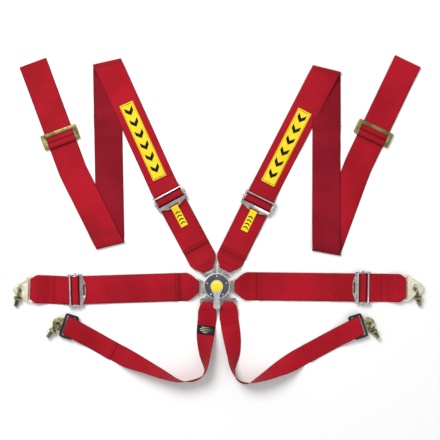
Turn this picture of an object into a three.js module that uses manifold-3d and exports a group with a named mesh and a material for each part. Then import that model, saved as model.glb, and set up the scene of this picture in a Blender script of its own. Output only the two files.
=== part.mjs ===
// Six-point racing harness laid out flat, in millimetres, +Z up.
// The origin is the centre of the cam-lock buckle, on the surface that the harness lies on.
// Shoulder straps run up (+Y), lap straps run left and right (X), crotch straps run down (-Y).

import * as THREE from 'three';
import { mergeVertices } from 'three/addons/utils/BufferGeometryUtils.js';
import Module from 'manifold-3d';

const wasm = await Module();
wasm.setup();

// Driving dimensions
const web = { thickness: 1.5, gap: 0.3, wide: 76, narrow: 50 };
const layerStep = web.thickness + web.gap;
const floorLayer = web.thickness / 2;
const secondLayer = floorLayer + layerStep;
const thirdLayer = secondLayer + layerStep;

const buckle = {
  baseRadius: 35, baseHeight: 2.3, bodyRadius: 35.5, bodyBottom: 2.6, bodyTop: 16,
  coverRadius: 32.5, coverBottom: 16.3, coverTop: 19.3, screwCircle: 27, screwRadius: 2.2,
  cavityRadius: 30.2, postRadius: 4, leverBottom: 19.8, leverTop: 24.2, badgeRadius: 15.2,
};
const tongue = { bottom: 8, top: 10.5, inner: 17, slotStart: 44.5, slotEnd: 50.5, outer: 56.5 };
const lock = { plateRadius: 29, plateBottom: 6.5, plateTop: 7.6, pinTop: 9.2, pinRadius: 2.4, circle: 26 };
const adjuster = {
  cheekInner: 40.3, cheekOuter: 43.3, pinHeight: 5.3, pinRadius: 3.2, pinEnd: 46.5,
  thinBarAt: 14, thinBarHeight: 12, thinBarRadius: 2.3, lipBottom: 10, lipTop: 12,
};
const slide = {
  length: 101, width: 41, bottom: 3.7, top: 6.7, sideBar: 11, upperBar: 9.4, lowerBar: 14.6, fromTail: 96,
};
const hook = { bottom: 9.5, top: 12.5 };
const eyebolt = {
  ringRadius: 10.9, wireRadius: 3.25, collarRadius: 10.5, collarLength: 5.5,
  shankRadius: 5.55, shankLength: 19,
};

const angle = (degrees) => THREE.MathUtils.degToRad(degrees);
const heading = (degrees) => new THREE.Vector3(Math.cos(angle(degrees)), Math.sin(angle(degrees)), 0);
const leftOf = (direction) => new THREE.Vector3(-direction.y, direction.x, 0);
const point = (x, y, z = 0) => new THREE.Vector3(x, y, z);

// Materials
function finish(color, roughness, metalness) {
  return new THREE.MeshStandardMaterial({ color, roughness, metalness });
}

const finishes = {
  webbing: () => finish('#b51d2e', 0.85, 0),
  label: () => finish('#f0d82c', 0.7, 0),
  coverPlastic: () => finish('#4a4b50', 0.55, 0.1),
  silver: () => finish('#d8d8d6', 0.3, 0.9),
  tongueSteel: () => finish('#9c938a', 0.45, 0.9),
  nickel: () => finish('#a5a09b', 0.35, 0.9),
  brass: () => finish('#8f8450', 0.45, 0.85),
  zinc: () => finish('#e2dcc0', 0.35, 0.85),
  olive: () => finish('#5a5a3a', 0.45, 0.8),
  blackPlastic: () => finish('#101010', 0.5, 0),
};

const harness = new THREE.Group();

function addMesh(name, geometry, material) {
  const mesh = new THREE.Mesh(geometry, material);
  mesh.name = name;
  harness.add(mesh);
  return mesh;
}

// Solids: joining and cutting
function toSolid(geometry) {
  const bare = geometry.clone();
  bare.deleteAttribute('normal');
  bare.deleteAttribute('uv');
  const merged = mergeVertices(bare, 1e-4);
  return new wasm.Manifold(new wasm.Mesh({
    numProp: 3,
    vertProperties: new Float32Array(merged.attributes.position.array),
    triVerts: new Uint32Array(merged.index.array),
  }));
}

function toGeometry(solid) {
  const mesh = solid.getMesh();
  const geometry = new THREE.BufferGeometry();
  geometry.setAttribute('position', new THREE.BufferAttribute(new Float32Array(mesh.vertProperties), 3));
  geometry.setIndex(new THREE.BufferAttribute(new Uint32Array(mesh.triVerts), 1));
  geometry.computeVertexNormals();
  return geometry;
}

const joined = (first, ...others) => others.reduce((sum, other) => sum.add(other), first);
const cutBy = (first, ...others) => others.reduce((sum, other) => sum.subtract(other), first);

// A flat plate from an outline of [x, y] points, between two heights, with optional holes.
function plate(outline, bottom, top, holes = [], curveSegments = 2) {
  const ready = outline instanceof THREE.Shape;
  const shape = ready ? outline : new THREE.Shape(outline.map(([x, y]) => new THREE.Vector2(x, y)));
  shape.holes.push(...holes);
  const depth = top - bottom;
  const geometry = new THREE.ExtrudeGeometry(shape, { depth, bevelEnabled: false, curveSegments });
  geometry.translate(0, 0, bottom);
  return geometry;
}

// A closed outline with its corners rounded: each corner is [x, y, radius].
function roundedShape(corners, PathKind = THREE.Shape) {
  const shape = new PathKind();
  corners.forEach(([x, y, radius = 0], i) => {
    const [px, py] = corners[(i + corners.length - 1) % corners.length];
    const [nx, ny] = corners[(i + 1) % corners.length];
    const here = new THREE.Vector2(x, y);
    const back = new THREE.Vector2(px, py).sub(here);
    const on = new THREE.Vector2(nx, ny).sub(here);
    const reach = Math.min(radius, 0.45 * back.length(), 0.45 * on.length());
    const before = back.setLength(reach).add(here);
    const after = on.setLength(reach).add(here);
    if (i === 0) shape.moveTo(before.x, before.y);
    else shape.lineTo(before.x, before.y);
    if (radius > 0) shape.quadraticCurveTo(x, y, after.x, after.y);
  });
  shape.closePath();
  return shape;
}

const boxShape = (x0, y0, x1, y1, radius, kind) => roundedShape(
  [[x0, y0, radius], [x1, y0, radius], [x1, y1, radius], [x0, y1, radius]], kind);

// A cylinder on the vertical axis through (x, y).
function disc(x, y, radius, bottom, top, segments = 24) {
  const geometry = new THREE.CylinderGeometry(radius, radius, top - bottom, segments);
  geometry.rotateX(Math.PI / 2);
  geometry.translate(x, y, (top + bottom) / 2);
  return geometry;
}

// A round rod across a strap, along local Y.
function crossRod(x, z, radius, halfLength, segments = 10) {
  const geometry = new THREE.CylinderGeometry(radius, radius, 2 * halfLength, segments);
  geometry.translate(x, 0, z);
  return geometry;
}

// Puts local geometry (x along the heading, y to its left) at a place in the plan.
function placed(geometry, x, y, degrees) {
  const turn = new THREE.Matrix4().makeRotationZ(angle(degrees)).setPosition(x, y, 0);
  return geometry.clone().applyMatrix4(turn);
}

// Webbing: a closed strip through stations, each a middle point and a half-width vector.
function ribbon(stations, thickness = web.thickness) {
  const positions = [];
  const indices = [];
  const last = stations.length - 1;
  stations.forEach((station, i) => {
    const travel = new THREE.Vector3().subVectors(
      stations[Math.min(i + 1, last)].mid, stations[Math.max(i - 1, 0)].mid);
    const normal = new THREE.Vector3().crossVectors(travel, station.half).setLength(thickness / 2);
    for (const [side, face] of [[1, 1], [-1, 1], [-1, -1], [1, -1]]) {
      const corner = station.mid.clone().addScaledVector(station.half, side).addScaledVector(normal, face);
      positions.push(corner.x, corner.y, corner.z);
    }
    if (i === last) return;
    for (let c = 0; c < 4; c += 1) {
      const a = 4 * i + c;
      const b = 4 * i + ((c + 1) % 4);
      // Both faces are split along the same diagonal, so that a twisted strap's faces never meet.
      if (c === 2) indices.push(a, b, a + 4, b, b + 4, a + 4);
      else indices.push(a, b, b + 4, a, b + 4, a + 4);
    }
  });
  const end = 4 * last;
  indices.push(0, 3, 2, 0, 2, 1, end, end + 1, end + 2, end, end + 2, end + 3);
  const geometry = new THREE.BufferGeometry();
  geometry.setAttribute('position', new THREE.Float32BufferAttribute(positions, 3));
  geometry.setIndex(indices);
  geometry.computeVertexNormals();
  return geometry;
}

const smooth = (t) => t * t * (3 - 2 * t);
const blendOf = (a, b, t) => a + (b - a) * t;

// Profile points [u, z]: a smooth ramp, and an arc round a bar.
function ramp(u0, z0, u1, z1, steps) {
  return Array.from({ length: steps }, (_, i) => {
    const t = (i + 1) / steps;
    return [blendOf(u0, u1, t), blendOf(z0, z1, smooth(t))];
  });
}

function arc(u, z, radius, from, to, steps) {
  return Array.from({ length: steps + 1 }, (_, i) => {
    const a = angle(blendOf(from, to, i / steps));
    return [u + radius * Math.cos(a), z + radius * Math.sin(a)];
  });
}

// Stations of a strap that follows a straight line in plan. The profile's half width may vary along u.
function along(line, profile, halfWidth) {
  const ahead = heading(line.degrees);
  const side = leftOf(ahead);
  return profile.map(([u, z]) => {
    const half = side.clone().multiplyScalar(halfWidth(u));
    if (line.skew) half.addScaledVector(ahead, line.skew(u) * halfWidth(u));
    const mid = line.origin.clone().addScaledVector(ahead, u);
    if (line.shift) mid.addScaledVector(side, line.shift(u));
    return { mid: mid.setZ(z), half };
  });
}

// A leg of strap that lies along a smooth route in plan, with heights given as [distance, z].
// A negative distance counts back from the far end. The skew turns its rulings to match a fold's crease.
function leg(route, heights, face, skewStart, skewEnd, halfWidth = web.wide / 2) {
  const curve = new THREE.CatmullRomCurve3(route.map(({ x, y }) => point(x, y)), false, 'centripetal');
  const length = curve.getLength();
  return heights.map(([distance, z]) => {
    const t = (distance < 0 ? length + distance : distance) / length;
    const tangent = curve.getTangentAt(t).normalize();
    const skew = blendOf(skewStart, skewEnd, smooth(t));
    const half = leftOf(tangent).multiplyScalar(face).addScaledVector(tangent, skew);
    return { mid: curve.getPointAt(t).setZ(z), half: half.multiplyScalar(halfWidth) };
  });
}

// An oblique fold: the strap turns over about a crease that halves the angle between its two legs.
function fold(at, cameFrom, goesTo, startHeight, rise, face, steps = 6) {
  const into = new THREE.Vector3().subVectors(at, cameFrom).setZ(0).normalize();
  const out = new THREE.Vector3().subVectors(goesTo, at).setZ(0).normalize();
  const crease = into.clone().add(out).normalize();
  const side = leftOf(into).multiplyScalar(face);
  const outward = into.clone().addScaledVector(crease, -into.dot(crease)).normalize();
  const skew = -side.dot(outward) / into.dot(outward);
  const half = side.clone().addScaledVector(into, skew).multiplyScalar(web.wide / 2);
  const radius = Math.abs(rise) / 2;
  const stations = Array.from({ length: steps + 1 }, (_, i) => {
    const a = (Math.PI * i) / steps;
    const mid = at.clone().setZ(startHeight + (rise / 2) * (1 - Math.cos(a)));
    return { mid: mid.addScaledVector(outward, radius * Math.sin(a) - radius), half: half.clone() };
  });
  return { stations, skewIn: skew, skewOut: half.dot(out) / (web.wide / 2) };
}

// ---- Buckle -------------------------------------------------------------------------------------

// Each tongue: where it enters the buckle, and where its webbing bar lies.
const sockets = {
  shoulder_left: { degrees: 118.16 },
  shoulder_right: { degrees: 63.66 },
  lap_left: { degrees: 181.8 },
  lap_right: { degrees: -0.67 },
  crotch_left: { degrees: -121, barX: -25.5, barY: -41 },
  crotch_right: { degrees: -57, barX: 32.5, barY: -41 },
};

function buildBuckle() {
  const { baseRadius, baseHeight, bodyRadius, bodyBottom, bodyTop, cavityRadius, postRadius } = buckle;
  const post = disc(0, 0, postRadius, 0.5, buckle.leverTop - 1, 20);
  addMesh('buckle_base', toGeometry(toSolid(disc(0, 0, baseRadius, 0, baseHeight, 48)).add(toSolid(post))),
    finishes.silver());

  const mouths = Object.values(sockets).map(({ degrees }) => {
    const mouth = plate(boxShape(8, -13.6, 45, 13.6, 1), tongue.bottom - 0.35, tongue.top + 0.35);
    return toSolid(placed(mouth, 0, 0, degrees));
  });
  const shell = toSolid(disc(0, 0, bodyRadius, bodyBottom, bodyTop, 40));
  const cavity = toSolid(disc(0, 0, cavityRadius, bodyBottom - 1, bodyTop - 2.4, 48));
  const neck = toSolid(disc(0, 0, postRadius + 0.4, bodyBottom, bodyTop + 1, 20));
  addMesh('buckle_body', toGeometry(cutBy(shell, cavity, neck, ...mouths)), finishes.silver());

  const { coverRadius, coverBottom, coverTop, screwCircle, screwRadius } = buckle;
  const profile = [[0, coverBottom], [coverRadius, coverBottom], [coverRadius, coverTop - 1.2],
    [coverRadius - 1.4, coverTop], [0, coverTop]].map(([x, y]) => new THREE.Vector2(x, y));
  const cover = new THREE.LatheGeometry(profile, 40);
  cover.rotateX(Math.PI / 2);
  const screwPlaces = [90, 162, 234, 306, 18].map((degrees) => heading(degrees).multiplyScalar(screwCircle));
  const screwHoles = screwPlaces.map(({ x, y }) => (
    toSolid(disc(x, y, screwRadius + 0.3, coverTop - 1, coverTop + 1, 12))
  ));
  const coverNeck = toSolid(disc(0, 0, postRadius + 0.4, coverBottom - 1, coverTop + 1, 20));
  const boredCover = cutBy(toSolid(cover), coverNeck, ...screwHoles);
  addMesh('buckle_cover', toGeometry(boredCover), finishes.coverPlastic());
  screwPlaces.forEach(({ x, y }, i) => {
    const head = toSolid(disc(x, y, screwRadius, coverTop - 0.7, coverTop + 0.3, 12));
    const recess = toSolid(disc(x, y, screwRadius * 0.45, coverTop - 0.2, coverTop + 1, 6));
    addMesh(`cover_screw_${i + 1}`, toGeometry(head.subtract(recess)), finishes.silver());
  });

  // The lock plate carries one pin for each tongue that comes out, and drops when the lever turns.
  const lockDisc = toSolid(disc(0, 0, lock.plateRadius, lock.plateBottom, lock.plateTop, 40));
  const lockNeck = toSolid(disc(0, 0, postRadius + 0.5, lock.plateBottom - 1, lock.plateTop + 1, 20));
  const pins = Object.values(sockets).map(({ degrees }) => {
    const { x, y } = heading(degrees).multiplyScalar(lock.circle);
    return toSolid(disc(x, y, lock.pinRadius, lock.plateTop - 0.5, lock.pinTop, 12));
  });
  addMesh('lock_plate', toGeometry(joined(cutBy(lockDisc, lockNeck), ...pins)), finishes.tongueSteel());

  // Flat teardrop lever: a round boss, a waist, and a wider thumb end.
  const outline = new THREE.Shape();
  outline.moveTo(-7, -30);
  outline.bezierCurveTo(-8, -20, -17.2, -10, -17.2, 0);
  outline.absarc(0, 0, 17.2, Math.PI, 0, true);
  outline.bezierCurveTo(17.2, -10, 8, -20, 7, -30);
  outline.bezierCurveTo(7, -42, 9.4, -46, 9.4, -53);
  outline.bezierCurveTo(9.4, -59, 5, -61, 0, -61);
  outline.bezierCurveTo(-5, -61, -9.4, -59, -9.4, -53);
  outline.bezierCurveTo(-9.4, -46, -7, -42, -7, -30);
  const lever = toSolid(plate(outline, buckle.leverBottom, buckle.leverTop, [], 8));
  const bore = toSolid(disc(0, 0, postRadius + 0.3, 0, buckle.leverTop - 0.7, 20));
  const seat = toSolid(disc(0, 0, buckle.badgeRadius + 0.3, buckle.leverTop - 0.4, buckle.leverTop + 1, 40));
  addMesh('lever', toGeometry(cutBy(lever, bore, seat)), finishes.silver());
  addMesh('lever_badge', disc(0, 0, buckle.badgeRadius, buckle.leverTop - 0.1, buckle.leverTop + 0.6, 40),
    finishes.label());

  // Return spring: a flat open ring round the post under the body's roof.
  const ring = toSolid(disc(0, 0, 11, 11.4, 12.9, 32));
  const middle = toSolid(disc(0, 0, 8, 11, 14, 32));
  const split = toSolid(placed(plate([[6, -1], [13, -1], [13, 1], [6, 1]], 11, 14), 0, 0, 35));
  addMesh('lever_spring', toGeometry(cutBy(ring, middle, split)), finishes.tongueSteel());
}

// The opening in a tongue's nose that its lock pin stands in.
const pinWindow = (kind) => boxShape(
  lock.circle - lock.pinRadius - 4.4, -2.8, lock.circle + lock.pinRadius + 0.3, 2.8, 0.6, kind);

// A straight tongue: it narrows towards the buckle's centre and widens to the webbing bar.
function straightTongue(name, { degrees }) {
  const { inner, slotStart, slotEnd, outer, bottom, top } = tongue;
  const outline = roundedShape([
    [inner, -6], [25, -10], [34, -12.5], [41, -17], [outer - 3, -23, 3], [outer, -20, 2],
    [outer, 20, 2], [outer - 3, 23, 3], [41, 17], [34, 12.5], [25, 10], [inner, 6],
  ]);
  const slot = boxShape(slotStart, -18, slotEnd, 18, 1.5, THREE.Path);
  const steel = plate(outline, bottom, top, [pinWindow(THREE.Path), slot]);
  addMesh(name, placed(steel, 0, 0, degrees), finishes.tongueSteel());
}

// A crotch tongue: the nose enters at an angle, and the webbing bar lies across the strap below.
function bentTongue(name, { degrees, barX, barY }) {
  const { bottom, top, inner } = tongue;
  const nose = plate(roundedShape([
    [inner, -6], [25, -10], [34, -12], [43, -12], [43, 12], [34, 12], [25, 10], [inner, 6],
  ]), bottom, top);
  const window = plate(pinWindow(), 0, 20);
  const foot = plate(boxShape(barX - 20, barY - 9, barX + 20, barY + 9, 4), bottom, top);
  const slot = plate(boxShape(barX - 16.5, barY - 3.6, barX + 16.5, barY + 2.4, 1.5), 0, 20);
  const blank = joined(toSolid(placed(nose, 0, 0, degrees)), toSolid(foot));
  const solid = cutBy(blank, toSolid(placed(window, 0, 0, degrees)), toSolid(slot));
  addMesh(name, toGeometry(solid), finishes.tongueSteel());
}

// ---- Adjusters ----------------------------------------------------------------------------------

// Tilt-lock adjuster. Local x runs from the buckle outwards, y across the strap, origin under the pin.
function buildAdjuster(name, place) {
  const { cheekInner, cheekOuter, pinHeight, pinRadius, pinEnd } = adjuster;
  const cheekOutline = roundedShape([
    [-21, 9.6, 1], [-12, 9.2, 1], [-6, 1.6, 2], [7, 1.6, 2], [12, 5.5, 2], [19.5, 7.2, 1.2],
    [19.5, 9.8, 1.2], [16.8, 14.6, 2], [9.5, 17.2, 3], [-8.5, 17.2, 3], [-13, 12.6, 2], [-21, 12, 0.6],
  ]);
  const cheek = (side) => {
    const from = side > 0 ? -cheekOuter : cheekInner;
    return toSolid(plate(cheekOutline, from, from + cheekOuter - cheekInner).rotateX(Math.PI / 2));
  };
  const lipOutline = roundedShape([
    [-12, -cheekOuter, 1], [-12, cheekOuter, 1], [-20.5, cheekOuter, 2], [-21.5, 34, 4], [-28.5, 15, 6],
    [-28.5, -15, 6], [-21.5, -34, 4], [-20.5, -cheekOuter, 2],
  ].reverse());
  const tabSlot = boxShape(-26, -15, -21.6, 15, 1.8, THREE.Path);
  const lip = plate(lipOutline, adjuster.lipBottom, adjuster.lipTop, [tabSlot]);
  const thinBar = crossRod(adjuster.thinBarAt, adjuster.thinBarHeight, adjuster.thinBarRadius, cheekOuter);
  const pinHole = crossRod(0, pinHeight, pinRadius + 0.3, pinEnd + 2);
  const track = plate(boxShape(-7.6, 10.3, 9.8, 14.6, 1), -50, 50);
  track.rotateX(Math.PI / 2);
  const frame = cutBy(
    joined(cheek(1), cheek(-1), toSolid(lip), toSolid(thinBar)), toSolid(pinHole), toSolid(track));
  const put = (geometry) => placed(geometry, place.x, place.y, place.degrees);
  addMesh(`${name}_adjuster_frame`, put(toGeometry(frame)), finishes.nickel());

  const pinOutline = [[0, -pinEnd], [1.8, -pinEnd], [pinRadius, -pinEnd + 1.6], [pinRadius, pinEnd - 1.6],
    [1.8, pinEnd], [0, pinEnd]].map(([x, y]) => new THREE.Vector2(x, y));
  const pin = new THREE.LatheGeometry(pinOutline, 14);
  pin.translate(0, 0, pinHeight);
  addMesh(`${name}_adjuster_pin`, put(pin), finishes.nickel());

  const bar = plate(boxShape(-7, 10.7, 7, 14.2, 1.4), -cheekOuter + 0.5, cheekOuter - 0.5);
  bar.rotateX(Math.PI / 2);
  addMesh(`${name}_lock_bar`, put(bar), finishes.nickel());
}

// The strap that is sewn to a tongue at one end and to the adjuster's pin at the other.
function tongueStrap(name, line, reach, doubledTo) {
  const { pinHeight, pinRadius } = adjuster;
  const { slotEnd, bottom, top } = tongue;
  const wrap = pinRadius + web.gap + web.thickness / 2;
  const middle = (bottom + top) / 2;
  const bend = (top - bottom) / 2 + web.gap + web.thickness / 2;
  const profile = [
    [reach - 62, floorLayer], ...ramp(reach - 62, floorLayer, reach, floorLayer, 2),
    ...arc(reach, pinHeight, wrap, -70, 100, 8),
    [reach - 6, 8.3], [reach - 10, 6.4], [reach - 14, 4.9], [reach - 20, 3.4], [reach - 28, secondLayer],
    [reach - 66, secondLayer], [reach - 76, floorLayer], [doubledTo + 10, floorLayer],
    [doubledTo, secondLayer], ...ramp(doubledTo, secondLayer, slotEnd + 9, middle + bend, 6),
    ...arc(slotEnd + 0.3, middle, bend, 90, 270, 6),
    ...ramp(slotEnd + 6, middle - bend, doubledTo - 4, floorLayer, 5),
  ];
  const crown = slotEnd + 0.6;
  const halfWidth = (u) => {
    const t = THREE.MathUtils.clamp((u - crown) / 32, 0, 1);
    return blendOf(16.5, web.wide / 2, 1 - (1 - t) ** 1.7);
  };
  addMesh(name, ribbon(along(line, profile, halfWidth)), finishes.webbing());
}

// Profile of webbing through a tilt-lock adjuster: hem, tail, lip, lock bar, thin bar.
function adjusterProfile(reach, tailLength) {
  return [
    [-tailLength, secondLayer], [-94, secondLayer], [-82, thirdLayer], [-36, thirdLayer],
    [-24, 6.4], [-15, 8.1], [-11.4, 8.9], [-9.9, 10.6], [-9.2, 12.8], [-7.4, 14.8], [-4.5, 15.3],
    [4.5, 15.3], [7.4, 14.8], [9, 12.8], [9.8, 10.4], [11.2, 8.9], [14, 8.3], [20, 7.6], [36, 4],
  ].map(([u, z]) => [reach + u, z]);
}

// Pull tab through the slot in the adjuster's lip.
function buildTab(name, place) {
  const tabThickness = 1;
  const rim = { u: -27.2, z: 11, radius: 2.4 };
  const profile = [
    [-30.5, 8.4], ...arc(rim.u, rim.z, rim.radius, -90, 90, 6),
    [-32, 12], [-40, 8.6], [-50, 6.2], [-86, 6.1],
  ];
  const line = { origin: point(place.x, place.y), degrees: place.degrees };
  addMesh(name, ribbon(along(line, profile, () => 10), tabThickness), finishes.label());
}

// ---- Shoulder straps ----------------------------------------------------------------------------

function buildShoulder(name, side) {
  const { pin, topTurn, bottomTurn, slideFrom, loopEnd, labelFrom, labelTo } = side;
  const degrees = THREE.MathUtils.radToDeg(Math.atan2(pin.y, pin.x));
  const line = { origin: point(0, 0), degrees };
  const reach = pin.length();
  straightTongue(`${name}_tongue`, { degrees });
  tongueStrap(`${name}_tongue_strap`, line, reach, reach - side.tailLength - 12);
  const place = { x: pin.x, y: pin.y, degrees };
  buildAdjuster(name, place);
  buildTab(`${name}_pull_tab`, place);
  const stations = along(line, adjusterProfile(reach, side.tailLength), () => web.wide / 2);

  // Leg one rises over leg two and turns under it at the top fold.
  const bulge = 5;
  const high = secondLayer + 0.2;
  const start = heading(degrees).multiplyScalar(reach + 36);
  const routeOne = [start, topTurn];
  const topFold = fold(topTurn, start, bottomTurn, floorLayer + bulge, -bulge, 1);
  const heightsOne = [
    [28, floorLayer], [110, floorLayer], [150, high], [-90, high],
    [-30, bulge - 0.6], [-12, floorLayer + bulge],
  ];
  stations.push(...leg(routeOne, heightsOne, 1, 0, topFold.skewIn), ...topFold.stations);

  // Leg two comes down, and leg three goes up over it or under it.
  const over = side.order === 'over';
  const turnStart = over ? floorLayer : floorLayer + bulge;
  const bottomFold = fold(bottomTurn, topTurn, slideFrom, turnStart, over ? bulge : -bulge, -1);
  const heightsTwo = over ? [[20, floorLayer], [250, floorLayer], [-20, floorLayer]] : [
    [20, floorLayer], [225, floorLayer], [-262, floorLayer], [-224, high], [-90, high],
    [-30, bulge - 0.6], [-12, floorLayer + bulge],
  ];
  stations.push(...leg([topTurn, bottomTurn], heightsTwo, -1, topFold.skewOut, bottomFold.skewIn));
  stations.push(...bottomFold.stations);

  // Leg three passes over the slide's lower bar, under its upper bar, round the end loop and back underneath.
  const rise = over ? [[12, floorLayer + bulge], [30, bulge - 0.6], [90, high], [-10, high]]
    : [[20, floorLayer], [-30, floorLayer]];
  stations.push(...leg([bottomTurn, slideFrom], rise, 1, bottomFold.skewOut, 0));
  const straight = new THREE.Vector3().subVectors(loopEnd, slideFrom);
  const loopDegrees = THREE.MathUtils.radToDeg(Math.atan2(straight.y, straight.x));
  const loopLine = { origin: slideFrom, degrees: loopDegrees };
  const crest = slide.top + web.gap + web.thickness / 2;
  const slideAt = slide.fromTail;
  const barMid = slideAt - slide.width / 2 + slide.lowerBar / 2;
  const rollOver = [
    [-14, secondLayer + 0.2], [-10.4, 4.2], [-9, 6.4], [-7.3, crest + 0.1], [-3, crest + 0.5],
    [3, crest + 0.5], [7.3, crest + 0.1], [9, 6.4], [10.4, 4.2], [14, secondLayer],
  ].map(([u, z]) => [barMid + u, z]);
  const far = straight.length();
  const loopRadius = 2.4;
  const lastRun = [
    [2, secondLayer], ...rollOver, [slideAt + 40, secondLayer], [far - 60, secondLayer], [far - 26, 4.4],
    ...arc(far - loopRadius, floorLayer + loopRadius, loopRadius, 90, -90, 6),
    [far - 40, floorLayer], [slideAt, floorLayer], [12, floorLayer],
  ];
  stations.push(...along(loopLine, lastRun, () => web.wide / 2));
  addMesh(`${name}_long_strap`, ribbon(stations), finishes.webbing());

  // Slide: the frame's side bars and upper bar show, and webbing covers the wide lower bar.
  const { width, length, lowerBar, upperBar, sideBar } = slide;
  const sill = length / 2 - sideBar;
  const window = boxShape(-width / 2 + lowerBar, -sill, width / 2 - upperBar, sill, 1.5, THREE.Path);
  const outline = boxShape(-width / 2, -length / 2, width / 2, length / 2, 3);
  const frame = plate(outline, slide.bottom, slide.top, [window]);
  const middle = slideFrom.clone().addScaledVector(heading(loopDegrees), slideAt);
  addMesh(`${name}_slide`, placed(frame, middle.x, middle.y, loopDegrees), finishes.brass());

  // Sewn label on leg one, a little above the webbing all along.
  const labelLift = web.thickness / 2 + 0.7;
  const strapAtLabel = blendOf(4.6, floorLayer, labelFrom / 28);
  const labelHeights = [[labelFrom, strapAtLabel], ...heightsOne.slice(0, 3), [labelTo, high]]
    .map(([distance, z]) => [distance, z + labelLift]);
  const labelStations = leg(routeOne, labelHeights, 1, 0, topFold.skewIn, 19.5);
  addMesh(`${name}_label`, ribbon(labelStations, 0.8), finishes.label());
}

// ---- Lap straps ---------------------------------------------------------------------------------

// Snap hook, in local x outwards from the strap and y to its left, with the eyebolt's hole at the origin.
function hookPlate(plan, mirror) {
  const flip = ([x, y, r]) => [x, y * mirror, r];
  const corners = plan.corners.map(flip);
  if (mirror < 0) corners.reverse();
  const { bottom, top } = hook;
  const body = toSolid(plate(roundedShape(corners), bottom, top));
  const nose = toSolid(disc(plan.nose[0], plan.nose[1] * mirror, plan.noseRadius, bottom, top, 28));
  const hole = toSolid(disc(0, 0, plan.holeRadius, 0, 30, 20));
  const gap = plate([[0, -4], [40, -4], [40, 4], [0, 4]], 0, 30);
  const mouth = toSolid(placed(gap, 0, 0, plan.mouth * mirror));
  let solid = cutBy(joined(body, nose), hole, mouth);
  if (plan.slot) {
    const [x0, y0, x1, y1] = plan.slot;
    const [low, high] = mirror > 0 ? [y0, y1] : [-y1, -y0];
    solid = solid.subtract(toSolid(plate(boxShape(x0, low, x1, high, 2), 0, 30)));
  }
  return solid;
}

// Spring gate: a leaf over the hook's mouth, held by a rivet head.
function gateLeaf(plan, mirror) {
  const [px, py] = plan.gatePivot;
  const length = plan.gateLength;
  const blank = plate(boxShape(-4.6, -4.6, length, 4.6, 4.2), hook.top + 0.3, hook.top + 1.7);
  const leaf = toSolid(placed(blank, px, py * mirror, plan.gateTurn * mirror));
  const rivet = toSolid(disc(px, py * mirror, 2.8, hook.top + 1, hook.top + 2.9, 12));
  const { x, y } = heading(plan.gateTurn * mirror).multiplyScalar(plan.secondRivet);
  const second = toSolid(disc(px + x, py * mirror + y, 1.9, hook.top + 1, hook.top + 2.5, 10));
  return joined(leaf, rivet, second);
}

// Eyebolt: ring, collar and threaded shank. Local x runs down the shank, origin at the hook's hole.
function eyeboltSolid({ offset, lean, droop }) {
  const { ringRadius, wireRadius, collarRadius, collarLength, shankRadius, shankLength } = eyebolt;
  const ring = new THREE.TorusGeometry(ringRadius, wireRadius, 8, 20);
  ring.rotateX(Math.PI / 2 - angle(lean));
  const outer = ringRadius + wireRadius;
  const rod = (from, to, radius, segments) => {
    const part = new THREE.CylinderGeometry(radius, radius, to - from, segments);
    part.rotateZ(-Math.PI / 2);
    part.translate((from + to) / 2, 0, 0);
    return toSolid(part);
  };
  const collarStart = outer - 0.8;
  const collarEnd = collarStart + collarLength;
  const whole = joined(
    toSolid(ring),
    rod(outer - 2.6, collarStart + 1, 4.4, 10),
    rod(collarStart, collarEnd, collarRadius, 16),
    rod(collarEnd - 1, collarEnd + shankLength, shankRadius, 12),
  );
  const rest = ringRadius * Math.cos(angle(lean)) + wireRadius;
  return toGeometry(whole).rotateY(angle(droop)).translate(offset, 0, Math.max(rest, 11));
}

const lapHook = {
  corners: [
    [-40, 36, 4], [-40, -34, 4], [-19, -34, 6], [4, -14], [-4, 14], [-7, 24, 6], [-13, 33, 8], [-22, 36.5, 6],
  ],
  nose: [4.6, 1.2], noseRadius: 16, holeRadius: 8.5, mouth: 97, slot: [-29.2, -31, -21, 33],
  gatePivot: [-12, 22.5], gateTurn: -27, gateLength: 19, secondRivet: 10,
};

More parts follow.
